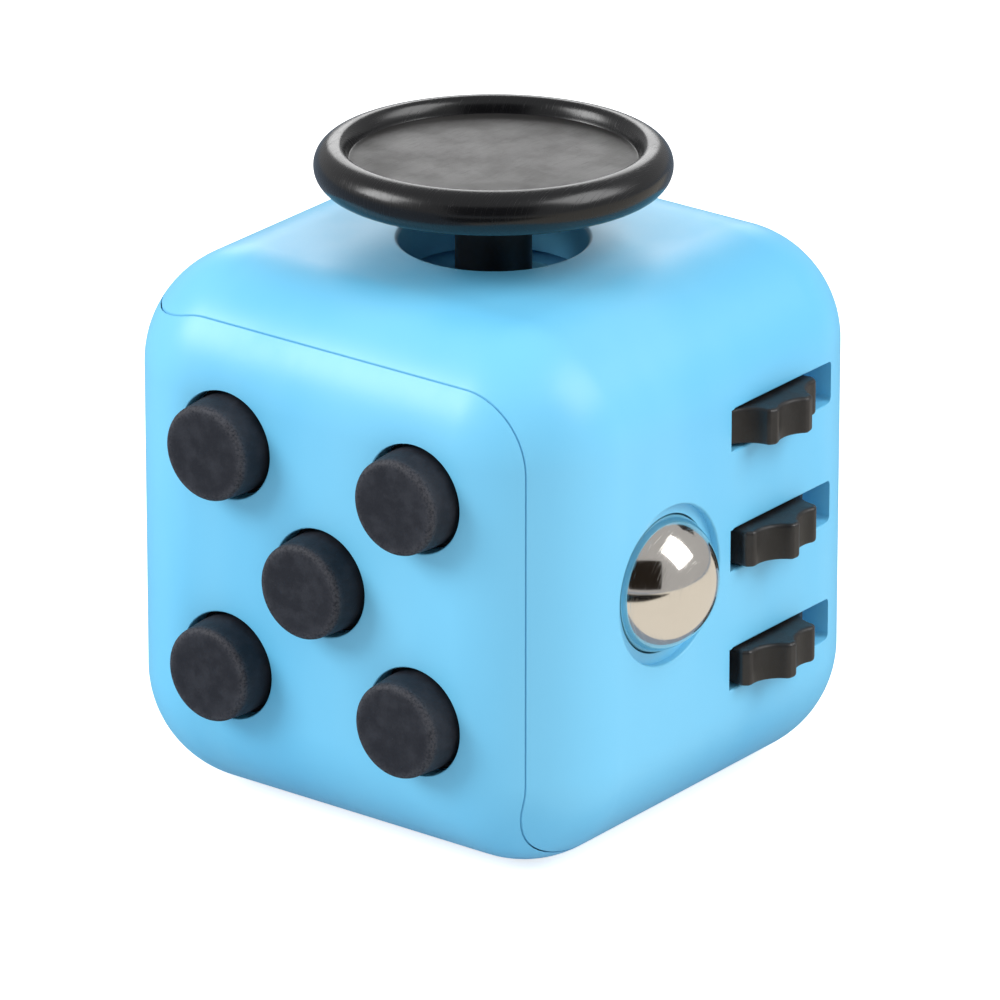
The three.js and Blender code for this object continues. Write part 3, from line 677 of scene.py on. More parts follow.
def baked(holder: Object) -> Mesh:
    """The mesh of an object with its modifiers applied; the object is removed."""
    bpy.context.view_layer.update()
    graph = bpy.context.evaluated_depsgraph_get()
    mesh = bpy.data.meshes.new_from_object(
        holder.evaluated_get(graph), preserve_all_data_layers=True, depsgraph=graph
    )
    bpy.data.objects.remove(holder)
    return mesh


def held(mesh: Mesh) -> Object:
    """Puts a mesh in the scene on a working object."""
    holder = bpy.data.objects.new("work", mesh)
    bpy.context.scene.collection.objects.link(holder)
    return holder


def combined(base: Mesh, how: Combine, *others: Mesh) -> Mesh:
    """Joins closed meshes to a base, cuts them from it, or keeps what is common.

    Args:
        base: The mesh to start from.
        how: What each of the others does to it.
        others: The other closed meshes, used one after another.

    Returns:
        The new closed mesh.
    """
    for other in others:
        holder, tool = held(base), held(other)
        modifier = holder.modifiers.new("combine", "BOOLEAN")
        modifier.operation = how.value
        modifier.solver = "MANIFOLD"
        modifier.object = tool
        base = baked(holder)
        bpy.data.objects.remove(tool)
    return base


def bevelled(mesh: Mesh, width: float, segments: int = 3, above: float = 40) -> Mesh:
    """Rounds the edges that are sharper than an angle in degrees."""
    holder = held(mesh)
    modifier = holder.modifiers.new("soft edges", "BEVEL")
    modifier.width = width
    modifier.segments = segments
    modifier.limit_method = "ANGLE"
    modifier.angle_limit = math.radians(above)
    return baked(holder)


def painted(mesh: Mesh, name: str, rule: Callable[[Vector], float]) -> Mesh:
    """Stores a rule's value on each point of a mesh, for its material to read."""
    values = [rule(vertex.co) for vertex in mesh.vertices]
    layer = mesh.attributes.new(name, "FLOAT", "POINT")
    layer.data.foreach_set("value", values)
    return mesh


def ridge(distance: float, reach: float) -> float:
    """A soft bump of a value: 1 at no distance, near 0 past the reach."""
    return math.exp(-((distance / reach) ** 2))


@dataclass(frozen=True)
class Piece:
    """How a finished mesh becomes a named piece of the object."""

    name: str
    finish: Finish
    body: str
    stands_for: tuple[str, ...]
    sharp_above: float = 35

    def made(self, mesh: Mesh, weighted: bool = True) -> Object:
        """Scales a mesh to metres, shades and dresses it, and rides it on its body.

        Args:
            mesh: The closed mesh, in millimetres.
            weighted: Whether large flat faces keep their own normals.

        Returns:
            The piece.
        """
        mesh.transform(Matrix.Scale(MM, 4))
        mesh.polygons.foreach_set("use_smooth", [True] * len(mesh.polygons))
        mesh.set_sharp_from_angle(angle=math.radians(self.sharp_above))
        if weighted:
            holder = held(mesh)
            modifier = holder.modifiers.new("even shading", "WEIGHTED_NORMAL")
            modifier.keep_sharp = True
            mesh = baked(holder)
        mesh.name = self.name
        mesh.materials.clear()
        mesh.materials.append(self.finish.material())
        piece = bpy.data.objects.new(self.name, mesh)
        bpy.context.scene.collection.objects.link(piece)
        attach(piece, self.body)
        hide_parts(*self.stands_for)
        log.info("%s: %d faces on %s", self.name, len(mesh.polygons), self.body)
        return piece


def cad_place(node: str) -> tuple[Vector, Vector]:
    """The lowest and highest corners of a CAD node at rest, in millimetres."""
    low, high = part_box(node)
    return low / MM, high / MM


def cad_middle(node: str) -> Vector:
    """The middle of a CAD node's box at rest, in millimetres."""
    low, high = cad_place(node)
    return (low + high) / 2


def dress(finish: Finish, *nodes: str) -> None:
    """Gives CAD nodes whose shape is right their finish."""
    for node in nodes:
        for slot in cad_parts[node].material_slots:
            slot.material = finish.material()
        log.info("%s: dressed in %s", node, finish.name)


# ------------------------------------------------------------------ node-made parts


class Recipe:
    """A geometry node tree with named sizes, run on its own to give a plain mesh."""

    def __init__(self, name: str, sizes: dict[str, str]) -> None:
        """Starts the tree.

        Args:
            name: The tree's name.
            sizes: The socket type of each named input.
        """
        self.tree = bpy.data.node_groups.new(name, "GeometryNodeTree")
        interface = self.tree.interface
        interface.new_socket("Geometry", in_out="INPUT", socket_type="NodeSocketGeometry")
        self.keys = {
            label: interface.new_socket(label, in_out="INPUT", socket_type=kind).identifier
            for label, kind in sizes.items()
        }
        interface.new_socket("Geometry", in_out="OUTPUT", socket_type="NodeSocketGeometry")
        self.graph = Graph(self.tree)
        self.entry = self.tree.nodes.new("NodeGroupInput")

    def size(self, label: str) -> Signal:
        """The signal of a named input."""
        return Signal(self.graph, self.entry.outputs[label])

    def close(self, geometry: Signal) -> None:
        """Ends the tree: instances made real, smooth, and given the material."""
        node = self.graph.node
        real = node("GeometryNodeRealizeInstances", inputs={"Geometry": geometry})
        smooth = node("GeometryNodeSetShadeSmooth", inputs={"Geometry": real})
        inputs = {"Geometry": smooth, "Material": self.size("Material")}
        node("NodeGroupOutput", inputs={0: node("GeometryNodeSetMaterial", inputs=inputs)})

    def run(self, start: Mesh, values: dict[str, object]) -> Mesh:
        """Runs the tree.

        Args:
            start: The mesh that the tree is given.
            values: A value for each named input.

        Returns:
            The plain mesh that it makes.
        """
        holder = held(start)
        modifier = holder.modifiers.new(self.tree.name, "NODES")
        modifier.node_group = self.tree
        for label, value in values.items():
            modifier[self.keys[label]] = value
        return baked(holder)


class SpringRecipe(Recipe):
    """A coil of round wire that rises along +Z from its start."""

    RING_SIDES = 10
    STEPS_PER_TURN = 32

    def __init__(self) -> None:
        """Builds the tree: a spiral with a round section."""
        kinds = dict.fromkeys(("Turns", "Start Radius", "End Radius", "Height", "Wire"), "NodeSocketFloat")
        super().__init__("coil_spring", {**kinds, "Material": "NodeSocketMaterial"})
        node = self.graph.node
        coil = node(
            "GeometryNodeCurveSpiral",
            inputs={
                "Resolution": self.STEPS_PER_TURN,
                "Rotations": self.size("Turns"),
                "Start Radius": self.size("Start Radius"),
                "End Radius": self.size("End Radius"),
                "Height": self.size("Height"),
            },
        )
        section = node(
            "GeometryNodeCurvePrimitiveCircle",
            inputs={"Resolution": self.RING_SIDES, "Radius": self.size("Wire")},
        )
        inputs = {"Curve": coil, "Profile Curve": section, "Fill Caps": True}
        self.close(node("GeometryNodeCurveToMesh", inputs=inputs))

    def coil(self, radii: tuple[float, float], height: float, turns: float, wire: float) -> Mesh:
        """A coil whose wire just fits between 0 and its height."""
        empty = bpy.data.meshes.new("start")
        values = {
            "Turns": float(turns),
            "Start Radius": float(radii[0]),
            "End Radius": float(radii[1]),
            "Height": height - 2.2 * wire,
            "Wire": wire,
            "Material": SPRING_STEEL.material(),
        }
        mesh = self.run(empty, values)
        mesh.transform(Matrix.Translation((0, 0, 1.1 * wire)))
        return mesh


class ScrewRecipe(Recipe):
    """A row of equal cross-head screws, one on each point of the start mesh.

    A screw is a line whose radius follows a rule along its length: a head, then a ridged shank that narrows
    to a tip. Its head ends a head's height behind the point and its tip reaches along the row's direction.
    Lengths near the tip are in shank radii, and those of the cross slot are in head radii and heights.
    """

    SIDES = 28
    STATION = 0.04
    THREAD_PITCH = 0.42
    RIDGE_DEPTH = 0.09
    NECK_HEIGHT = -0.07
    TAPER_LENGTH = 1.6
    TIP_SHARE = 0.12
    CROWN_START = 0.6
    CROWN_DROP = 0.5
    SLOT_LENGTH = 1.25
    SLOT_WIDTH = 0.26
    SLOT_PLACE = 1.1

    def __init__(self) -> None:
        """Builds the tree: the rule for the radius, the cross slot, then a copy on each point."""
        kinds = dict.fromkeys(("Head Radius", "Head Height", "Shank Radius", "Length"), "NodeSocketFloat")
        extra = {"Direction": "NodeSocketVector", "Material": "NodeSocketMaterial"}
        super().__init__("screw_row", {**kinds, **extra})
        node = self.graph.node
        head, tall = self.size("Head Radius"), self.size("Head Height")
        shank, length = self.size("Shank Radius"), self.size("Length")
        foot = node("ShaderNodeCombineXYZ", inputs={"Z": 0 - tall})
        tip = node("ShaderNodeCombineXYZ", inputs={"Z": length})
        line = node("GeometryNodeCurvePrimitiveLine", inputs={"Start": foot, "End": tip})
        inputs = {"Curve": line, "Length": self.STATION}
        line = node("GeometryNodeResampleCurve", {"mode": "LENGTH"}, inputs)
        height = node(
            "ShaderNodeSeparateXYZ", inputs={0: node("GeometryNodeInputPosition")}, output="Z"
        )
        ridges = (height * (2 * math.pi / self.THREAD_PITCH)).sine()
        ridges = ridges * self.RIDGE_DEPTH + (1 - self.RIDGE_DEPTH)
        taper = ((length - height) / (shank * self.TAPER_LENGTH)).smallest(1.0).largest(self.TIP_SHARE)
        in_head = height < self.NECK_HEIGHT
        crown = 1 - (0 - height - tall * self.CROWN_START).largest(0) / tall * self.CROWN_DROP
        radius = head * crown * in_head + shank * ridges * taper * (1 - in_head)
        line = node("GeometryNodeSetCurveRadius", inputs={"Curve": line, "Radius": radius})
        section = node("GeometryNodeCurvePrimitiveCircle", inputs={"Resolution": self.SIDES, "Radius": 1.0})
        inputs = {"Curve": line, "Profile Curve": section, "Scale": radius, "Fill Caps": True}
        screw = node("GeometryNodeCurveToMesh", inputs=inputs)
        for long_side in ("X", "Y"):
            short_side = "Y" if long_side == "X" else "X"
            sizes = {long_side: head * self.SLOT_LENGTH, short_side: head * self.SLOT_WIDTH, "Z": tall}
            bar = node("GeometryNodeMeshCube", inputs={"Size": node("ShaderNodeCombineXYZ", inputs=sizes)})
            sunk = node("ShaderNodeCombineXYZ", inputs={"Z": 0 - tall * self.SLOT_PLACE})
            bar = node("GeometryNodeTransform", inputs={"Geometry": bar, "Translation": sunk})
            settings = {"operation": "DIFFERENCE", "solver": "MANIFOLD"}
            screw = node("GeometryNodeMeshBoolean", settings, {"Mesh 1": screw, "Mesh 2": bar})
        aimed = node(
            "FunctionNodeAlignRotationToVector", {"axis": "Z"}, {"Vector": self.size("Direction")}
        )
        inputs = {"Points": self.size("Geometry"), "Instance": screw, "Rotation": aimed}
        self.close(node("GeometryNodeInstanceOnPoints", inputs=inputs))

    def row(
        self, places: Sequence[Vector], direction: Vector, radii: tuple[float, float], length: float
    ) -> Mesh:
        """Screws at places, all the same way round.

        Args:
            places: Where each head meets what it holds.
            direction: The way that the tips point.
            radii: The head's and the shank's radius.
            length: The shank's length.

        Returns:
            One mesh of all of them.
        """
        start = bpy.data.meshes.new("start")
        start.from_pydata(places, [], [])
        values = {
            "Head Radius": radii[0],
            "Head Height": SCREW_HEAD,
            "Shank Radius": radii[1],
            "Length": length,
            "Direction": direction,
            "Material": SCREW_STEEL.material(),
        }
        return self.run(start, values)


def joined(meshes: Sequence[Mesh]) -> Mesh:
    """Puts several meshes together as one, each still its own closed shell."""
    work = bmesh.new()
    for mesh in meshes:
        work.from_mesh(mesh)
    together = bpy.data.meshes.new("work")
    work.to_mesh(together)
    work.free()
    return together


# ------------------------------------------------------------------ cube shell


@dataclass(frozen=True)
class ShellWork:
    """What a sub-assembly adds to one shell half, and what it then cuts from it."""

    added: tuple[Mesh, ...] = ()
    cut: tuple[Mesh, ...] = ()

    def on(self, half: Mesh) -> Mesh:
        """The shell half after the work."""
        half = combined(half, Combine.JOIN, *self.added)
        return combined(half, Combine.CUT, *self.cut)


def screw_seats(name: str, count: int, direction: Vector) -> list[Vector]:
    """Where the heads of a row of the frame's screws meet what they hold.

    Args:
        name: The screws' node name without its number.
        count: How many there are.
        direction: The way that their tips point, along one axis.

    Returns:
        One point for each screw.
    """
    seats = []
    for number in range(1, count + 1):
        low, high = cad_place(f"{name}_{number}")
        half_length = abs((high - low).dot(direction)) / 2
        seats.append((low + high) / 2 + direction * (SCREW_HEAD - half_length))
    return seats


def boss(at: Vector, aim: Aim, length: float, radius: float, bore: float, roof: float) -> ShellWork:
    """A round post with a blind screw hole.

    Args:
        at: The middle of its free end.
        aim: The way from its free end to the wall that it stands on.
        length: How far it reaches.
        radius: Its radius.
        bore: The radius of its hole.
        roof: How much is left over the hole's end, past the post's length.

    Returns:
        The post to add and the hole to cut.
    """
    post = placed(rod(circle(radius, 40), 0, length), aim, at)
    hole = placed(rod(circle(bore, 32), -1, length - roof), aim, at)
    return ShellWork((post,), (hole,))


def hole_cutter(outline: Outline, rounding: float, depth: float) -> Mesh:
    """A cutter for a hole whose outer edge is rounded; the face is at height 0 and it sinks along -Z.

    Args:
        outline: The hole's outline.
        rounding: How far its edge is rounded.
        depth: How deep it goes.

    Returns:
        The cutter.
    """
    above, shallow = 0.3, 14.0
    curve = arc((rounding, -rounding), rounding, 180, 90 + shallow, 6)
    last = curve[-1]
    flare = last[0] + (above - last[1]) / math.tan(math.radians(shallow))
    return prism(outline, [(0, -depth), *curve, (flare, above)])


@dataclass(frozen=True)
class CubeSize:
    """The cube's own sizes, shared by everything that is set into it."""

    side: float = 34.0
    edge_radius: float = 7.2
    wall: float = 1.4

    @property
    def half(self) -> float:
        """Half of a side, which is also the height of the cube's middle."""
        return self.side / 2

    @property
    def inner(self) -> float:
        """How far an inner wall is from the middle."""
        return self.half - self.wall

    def body(self, inset: float, steps: int) -> Mesh:
        """The rounded cube, shrunk evenly by an inset."""
        reach = self.half - inset
        low, high = (-reach, -reach, inset), (reach, reach, self.side - inset)
        return rounded_block(low, high, self.edge_radius - inset, steps)

    def outward(self, point: Vector) -> Vector | None:
        """The way out of the cube at a point of its outer skin, or None for a point elsewhere."""
        middle = Vector((0, 0, self.half))
        core = self.half - self.edge_radius
        offset = point - middle
        inner = Vector([max(-core, min(core, value)) for value in offset])
        out = offset - inner
        if abs(out.length - self.edge_radius) > 0.004:
            return None
        return out.normalized()


@dataclass(frozen=True)
class Shell:
    """The two halves. The front one has the front, left and bottom faces; a tongue joins them."""

    cube: CubeSize
    steps: int = 12
    seam_depth: float = 1.5
    seam_gap: float = 0.08
    seam_radius: float = 4.5
    solid_corner: float = 6.0
    tongue_depth: float = 3.0
    tongue_inset: float = 0.8
    rebate_inset: float = 0.7
    dish_radius: float = 8.0
    dish_depth: float = 1.5
    dish_pad: float = 9.2

    def behind_seam(self, depth: float) -> Mesh:
        """All that lies a depth behind the front, left and bottom faces, with edges of a matching radius."""
        low = -self.cube.half + depth
        far = low + 2 * self.cube.side
        radius = self.seam_radius + self.seam_depth - depth
        return rounded_block((low, low, depth), (far, far, depth + 2 * self.cube.side), radius, 6)

    def front_half(self) -> Mesh:
        """The front half without what is set into it."""
        near, size = -self.cube.half, self.solid_corner
        corner = block((near, near, 0), (near + size, near + size, size))
        behind = combined(self.behind_seam(self.seam_depth), Combine.CUT, corner)
        outside = combined(self.cube.body(0, self.steps), Combine.CUT, behind)
        tongue = self.cube.body(self.tongue_inset, 6)
        tongue = combined(tongue, Combine.CUT, self.behind_seam(self.tongue_depth))
        outside = combined(outside, Combine.JOIN, tongue)
        return combined(outside, Combine.CUT, self.cube.body(self.cube.wall, 6))

    def back_half(self) -> Mesh:
        """The back half without what is set into it."""
        outside = self.cube.body(0, self.steps)
        outside = combined(outside, Combine.COMMON, self.behind_seam(self.seam_depth + self.seam_gap))
        rebate = self.cube.body(self.rebate_inset, 6)
        rebate = combined(rebate, Combine.CUT, self.behind_seam(self.tongue_depth + self.seam_gap))
        return combined(outside, Combine.CUT, rebate, self.cube.body(self.cube.wall, 6))

    def thumb_dish(self) -> ShellWork:
        """The smooth hollow for a thumb in the bottom face, with a thicker wall over it."""
        pad = placed(rod(circle(self.dish_pad), self.cube.wall / 2, self.dish_depth + self.cube.wall))
        sphere = (self.dish_radius**2 + self.dish_depth**2) / (2 * self.dish_depth)
        edge = math.degrees(math.asin(self.dish_radius / sphere))
        hollow = arc((0, self.dish_depth - sphere), sphere, 90 - edge * 0.93, 90, 24)
        lip = [(self.dish_radius + 1.9, -0.3), (self.dish_radius + 0.42, -0.03)]
        cutter = turned([(0, -0.3), *lip, *hollow], 128)
        return ShellWork((pad,), (cutter,))

    def build(self, front_work: Sequence[ShellWork], back_work: Sequence[ShellWork]) -> None:
        """Makes both halves with everything that is set into them.

        Args:
            front_work: The work on the front half.
            back_work: The work on the back half.
        """
        halves = {
            "shell_front_half": (self.front_half(), [self.thumb_dish(), *front_work]),
            "shell_back_half": (self.back_half(), back_work),
        }
        for name, (half, works) in halves.items():
            for work in works:
                half = work.on(half)
            piece = Piece(name + "_skin", SHELL_PLASTIC, "cube", (name,), 30)
            self.even_skin(piece.made(half, weighted=False))

    def even_skin(self, piece: Object) -> None:
        """Gives the outer skin the exact normals of the rounded cube."""
        mesh = piece.data
        normals = [Vector((0, 0, 0))] * len(mesh.loops)
        for face in mesh.polygons:
            for corner in face.loop_indices:
                point = mesh.vertices[mesh.loops[corner].vertex_index].co / MM
                out = self.cube.outward(point)
                if out is not None and out.dot(face.normal) > 0.985:
                    normals[corner] = out
        mesh.normals_split_custom_set(normals)


# ------------------------------------------------------------------ five buttons


@dataclass(frozen=True)
class Buttons:
    """Five push buttons on the front face, each with a return spring, in front of one plate."""

    cube: CubeSize
    count: int = 5
    hole_radius: float = 3.38
    hole_rounding: float = 0.1
    front_radius: float = 2.98
    root_radius: float = 3.1
    edge_round: float = 0.4
    protrusion: float = 2.0
    flange_radius: float = 4.1
    flange_front: float = -1.7
    flange_back: float = -2.6
    stem_radius: float = 1.3
    stem_end: float = -3.6
    plate_front: float = -5.8
    travel: float = 1.1
    spring_radius: float = 2.0
    spring_wire: float = 0.22
    boss_radius: float = 1.7
    post_roof: float = 0.9
    screw_radii: tuple[float, float] = (1.5, 0.66)
    screw_length: float = 4.2

    def centres(self) -> list[Vector]:
        """The middle of each cap, on the plane of the front face."""
        found = [cad_middle(f"button_cap_{number + 1}") for number in range(self.count)]
        return [Vector((middle.x, -self.cube.half, middle.z)) for middle in found]

    def cap(self) -> Mesh:
        """One cap around +Z, with station 0 at the cube's face."""
        shoulder = self.front_radius - self.edge_round
        top = self.protrusion
        profile = [
            (0, self.stem_end),
            (self.stem_radius - 0.15, self.stem_end),
            (self.stem_radius, self.stem_end + 0.15),
            (self.stem_radius, self.flange_back),
            (self.flange_radius - 0.12, self.flange_back),
            (self.flange_radius, self.flange_back + 0.12),
            (self.flange_radius, self.flange_front - 0.12),
            (self.flange_radius - 0.12, self.flange_front),
            (self.root_radius, self.flange_front),
            (self.root_radius, 0),
            *[(self.root_radius + (self.front_radius - self.root_radius) * t, (top - self.edge_round) * t)
              for t in (0.25, 0.5, 0.75, 0.9)],
            *arc((shoulder, top - self.edge_round), self.edge_round, 0, 90, 10),
            (shoulder - 0.15, top),
            (shoulder - 0.35, top),
            (shoulder - 0.8, top),
            (shoulder * 0.4, top),
            (0, top),
        ]
        # The rounded rim, where the painted edge highlight and dust are strongest.
        rim = Vector((shoulder + 0.28, top - 0.12))
        mesh = turned(profile, 112)

        def wear_and_edge_highlight(point: Vector) -> float:
            """How pale a point is painted: most at the rounded rim, as dust and a painted edge highlight."""
            reach = Vector((Vector((point.x, point.y)).length, point.z)) - rim
            return ridge(reach.length, 0.34)

        return painted(mesh, "wear_and_edge_highlight", wear_and_edge_highlight)

    def shell_work(self) -> list[ShellWork]:
        """The five holes, and the posts that the plate is screwed to."""
        cutter_depth = self.cube.wall + 1
        holes = tuple(
            placed(hole_cutter(circle(self.hole_radius), self.hole_rounding, cutter_depth), Aim.FRONT, centre)
            for centre in self.centres()
        )
        posts = []
        for place in self.screw_places():
            end = Vector((place.x, -self.cube.half - self.plate_front - 0.1, place.z))
            length = end.y + self.cube.inner + BITE
            bore = self.screw_radii[1] + SHANK_GAP
            posts.append(boss(end, Aim.FRONT, length, self.boss_radius, bore, self.post_roof))
        return [ShellWork((), holes), *posts]

    def screw_places(self) -> list[Vector]:
        """Where each plate screw's head meets the plate."""
        return screw_seats("backplate_screw", 3, Vector((0, -1, 0)))

    def screws(self, recipe: ScrewRecipe) -> Mesh:
        """The plate's screws, driven towards the front."""
        return recipe.row(self.screw_places(), Vector((0, -1, 0)), self.screw_radii, self.screw_length)

    def build(self, springs: SpringRecipe) -> None:
        """Makes the caps and their springs, and dresses the plate."""
        rest = self.flange_back - self.plate_front
        for number, centre in enumerate(self.centres(), 1):
            cap = placed(self.cap(), Aim.FRONT, centre, spin=37 * number)
            piece = Piece(f"button_{number}_cap", BUTTON_RUBBER, f"button_{number}", (f"button_cap_{number}",))
            piece.made(cap)
            plate = centre.y - self.plate_front
            coil = springs.coil((self.spring_radius, self.spring_radius), rest, 3.5, self.spring_wire)
            coil = placed(coil, Aim.FRONT, (centre.x, plate, centre.z))
            node = f"button_spring_{number}"
            spring = Piece(node + "_coil", SPRING_STEEL, "cube", (node,), 180).made(coil, weighted=False)
            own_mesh(spring)
        dress(INNER_PLASTIC, "button_backplate")


# ------------------------------------------------------------------ gliding joystick


@dataclass(frozen=True)
class Joystick:
    """A thumb pad on a stem that glides in a round well, over a sliding shutter and a sprung tray."""

    cube: CubeSize
    well_radius: float = 5.72
    well_rounding: float = 0.28
    collar_radius: float = 6.9
    collar_drop: float = 1.4
    pad_radius: float = 10.78
    rim_radius: float = 1.37
    rim_inner_reach: float = 0.78
    rim_z: float = 38.62
    floor_z: float = 39.04
    underside_z: float = 37.9
    socket_top_z: float = 38.54
    socket_gap: float = 0.1
    lean: float = 2.2
    lean_axis: tuple[float, float, float] = (-0.794, -0.608, 0)
    lean_pivot_z: float = 38.62
    stem_radius: float = 2.32
    stem_top_z: float = 38.42
    flange_radius: float = 5.2
    flange_z: tuple[float, float] = (28.85, 29.75)
    foot_radius: float = 1.6
    foot_z: float = 25.2
    tray_top_z: float = 27.8
    cup_floor_z: float = 23.4
    spring_radii: tuple[float, float] = (4.6, 2.2)
    spring_wire: float = 0.28
    boss_radius: float = 1.4
    post_roof: float = 0.8
    screw_radii: tuple[float, float] = (1.3, 0.56)
    screw_length: float = 4.8

    def pad(self) -> Mesh:
        """The pad: a satin floor inside a rolled glossy rim, leaning a little on the stem in its socket."""
        rim = (self.pad_radius - self.rim_radius, self.rim_z)
        socket = self.stem_radius + self.socket_gap
        narrow = self.rim_inner_reach / self.rim_radius
        wall = [(rim[0] + (x - rim[0]) * narrow, z) for x, z in arc(rim, self.rim_radius, 92, 158, 14)]
        inner = wall[-1][0]
        profile = [
            (0, self.socket_top_z),
            (socket, self.socket_top_z),
            (socket, self.underside_z + 0.15),
            (socket + 0.15, self.underside_z),
            (inner - 0.8, self.underside_z),
            *arc(rim, self.rim_radius, -148, 90, 56),
            *wall,
            (inner - 0.03, self.floor_z + 0.03),
            (inner - 0.09, self.floor_z + 0.005),
            (inner - 0.2, self.floor_z),
            (inner - 1.5, self.floor_z),
            (inner * 0.5, self.floor_z),
            (0, self.floor_z),
        ]

        def satin(point: Vector) -> float:
            """1 on the floor, 0 on the rim."""
            on_top = point.z > self.underside_z + 0.5
            return 1.0 if on_top and Vector((point.x, point.y)).length < inner - 0.05 else 0.0

        mesh = painted(turned(profile, 160), "satin", satin)
        pivot = Matrix.Translation((0, 0, self.lean_pivot_z))
        lean = Matrix.Rotation(math.radians(self.lean), 4, Vector(self.lean_axis))
        mesh.transform(pivot @ lean @ pivot.inverted())
        return mesh

    def stem(self) -> Mesh:
        """The post with its round flange and foot."""
        low, high = self.flange_z
        radius, flange, ease = self.stem_radius, self.flange_radius, 0.12
        profile = [
            (0, self.foot_z),
            (self.foot_radius - 0.3, self.foot_z),
            (self.foot_radius, self.foot_z + 0.3),
            (self.foot_radius, low),
            (flange - ease, low),
            (flange, low + ease),
            (flange, high - ease),
            (flange - ease, high),
            *arc((radius + 0.3, high + 0.3), 0.3, 270, 180, 6),
            (radius, self.stem_top_z - ease),
            (radius - ease, self.stem_top_z),
            (0, self.stem_top_z),
        ]
        return turned(profile, 72)

    def screw_places(self) -> list[Vector]:
        """Where each tray screw's head meets the tray."""
        return screw_seats("tray_screw", 4, Vector((0, 0, 1)))

    def screws(self, recipe: ScrewRecipe) -> Mesh:
        """The tray's screws, driven upwards."""
        return recipe.row(self.screw_places(), Vector((0, 0, 1)), self.screw_radii, self.screw_length)

    def shell_work(self) -> list[ShellWork]:
        """The round well with its collar, and the posts that the tray hangs from."""
        side, roof = self.cube.side, self.cube.side - self.cube.wall
        collar = rod(circle(self.collar_radius), roof - self.collar_drop, roof + 0.1)
        depth = self.cube.wall + self.collar_drop + 1
        well = placed(hole_cutter(circle(self.well_radius, 128), self.well_rounding, depth), at=(0, 0, side))
        work = [ShellWork((collar,), (well,))]
        for place in self.screw_places():
            end = Vector((place.x, place.y, self.tray_top_z + 0.1))
            length = roof + 0.1 - end.z
            bore = self.screw_radii[1] + SHANK_GAP
            work.append(boss(end, Aim.UP, length, self.boss_radius, bore, self.post_roof))
        return work

    def build(self, springs: SpringRecipe) -> None:
        """Makes the pad, stem and spring, and dresses the shutter and tray."""
        Piece("joystick_thumb_pad", GLOSS_BLACK, "joystick", ("joystick_pad",), 32).made(self.pad())
        stem = painted(self.stem(), "satin", lambda point: 0.3)
        Piece("joystick_post", GLOSS_BLACK, "joystick", ("joystick_stem",)).made(stem)
        height = self.flange_z[0] - self.cup_floor_z
        coil = springs.coil(self.spring_radii, height, 4.5, self.spring_wire)
        coil = placed(coil, at=(0, 0, self.cup_floor_z))
        node = "joystick_spring"
        Piece(node + "_coil", SPRING_STEEL, "cube", (node,), 180).made(coil, weighted=False)
        dress(SHELL_PLASTIC, "joystick_shutter")
        dress(INNER_PLASTIC, "joystick_tray")


# ------------------------------------------------------------------ ball


@dataclass(frozen=True)
class Ball:
    """A steel ball that rolls in a sprung cup, held in by a lip in the right face."""

    cube: CubeSize
    radius: float = 4.4
    mouth_radius: float = 4.95
    mouth_rounding: float = 0.12
    lip_radius: float = 4.28
    lip_offset: float = 1.22
    housing_radius: float = 5.6
    housing_bore: float = 4.87
    housing_end_x: float = 9.2
    cup_x: tuple[float, float] = (12.6, 14.9)
    travel: float = 1.2
    spring_radius: float = 4.05
    spring_wire: float = 0.3

    def centre(self) -> Vector:
        """The middle of the ball."""
        return cad_middle("ball")

    def shell_work(self) -> list[ShellWork]:
        """The tube behind the hole, and the bore with its lip and smooth mouth."""
        middle = self.centre()
        face = self.cube.half
        lip_x = middle.x + self.lip_offset
        tube = rod(circle(self.housing_radius), self.housing_end_x, self.cube.inner + BITE)
        seat = self.cup_x[1] + 0.15
        ease = self.mouth_rounding
        round_over = arc((self.mouth_radius + ease, face - ease), ease, 180, 96, 6)
        bore = turned(
            [
                (0, self.housing_end_x - 1),
                (self.housing_bore, self.housing_end_x - 1),
                (self.housing_bore, seat),
                (self.lip_radius + 0.25, seat),
                (self.lip_radius + 0.19, middle.x + 0.34),
                (self.lip_radius + 0.12, middle.x + 0.8),
                (self.lip_radius + 0.02, lip_x - 0.05),
                (self.lip_radius, lip_x),
                (self.lip_radius + 0.02, lip_x + 0.08),
                (self.mouth_radius, lip_x + 0.08),
                *round_over,
                (self.mouth_radius + 2 * ease, face + 0.3),
                (0, face + 0.3),
            ],
            128,
        )
        at = (0, middle.y, middle.z)
        return [ShellWork((placed(tube, Aim.RIGHT, at),), (placed(bore, Aim.RIGHT, at),))]

    def build(self, springs: SpringRecipe) -> None:
        """Makes the ball and its spring, and dresses the cup and the cap."""
        middle = self.centre()
        sphere = turned(arc((0, 0), self.radius, -90, 90, 72), 128)
        ball = Piece("rolling_ball", BALL_STEEL, "ball", ("ball",), 180)
        ball.made(placed(sphere, at=middle), weighted=False)
        start = self.housing_end_x - 0.15
        rest = self.cup_x[0] - start
        coil = springs.coil((self.spring_radius, self.spring_radius), rest, 3, self.spring_wire)
        coil = placed(coil, Aim.RIGHT, (start, middle.y, middle.z))
        spring = Piece("ball_spring_coil", SPRING_STEEL, "cube", ("ball_spring",), 180)
        spring = spring.made(coil, weighted=False)
        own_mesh(spring)
        dress(INNER_PLASTIC, "ball_cup", "ball_spring_cap")


# ------------------------------------------------------------------ thumb wheels


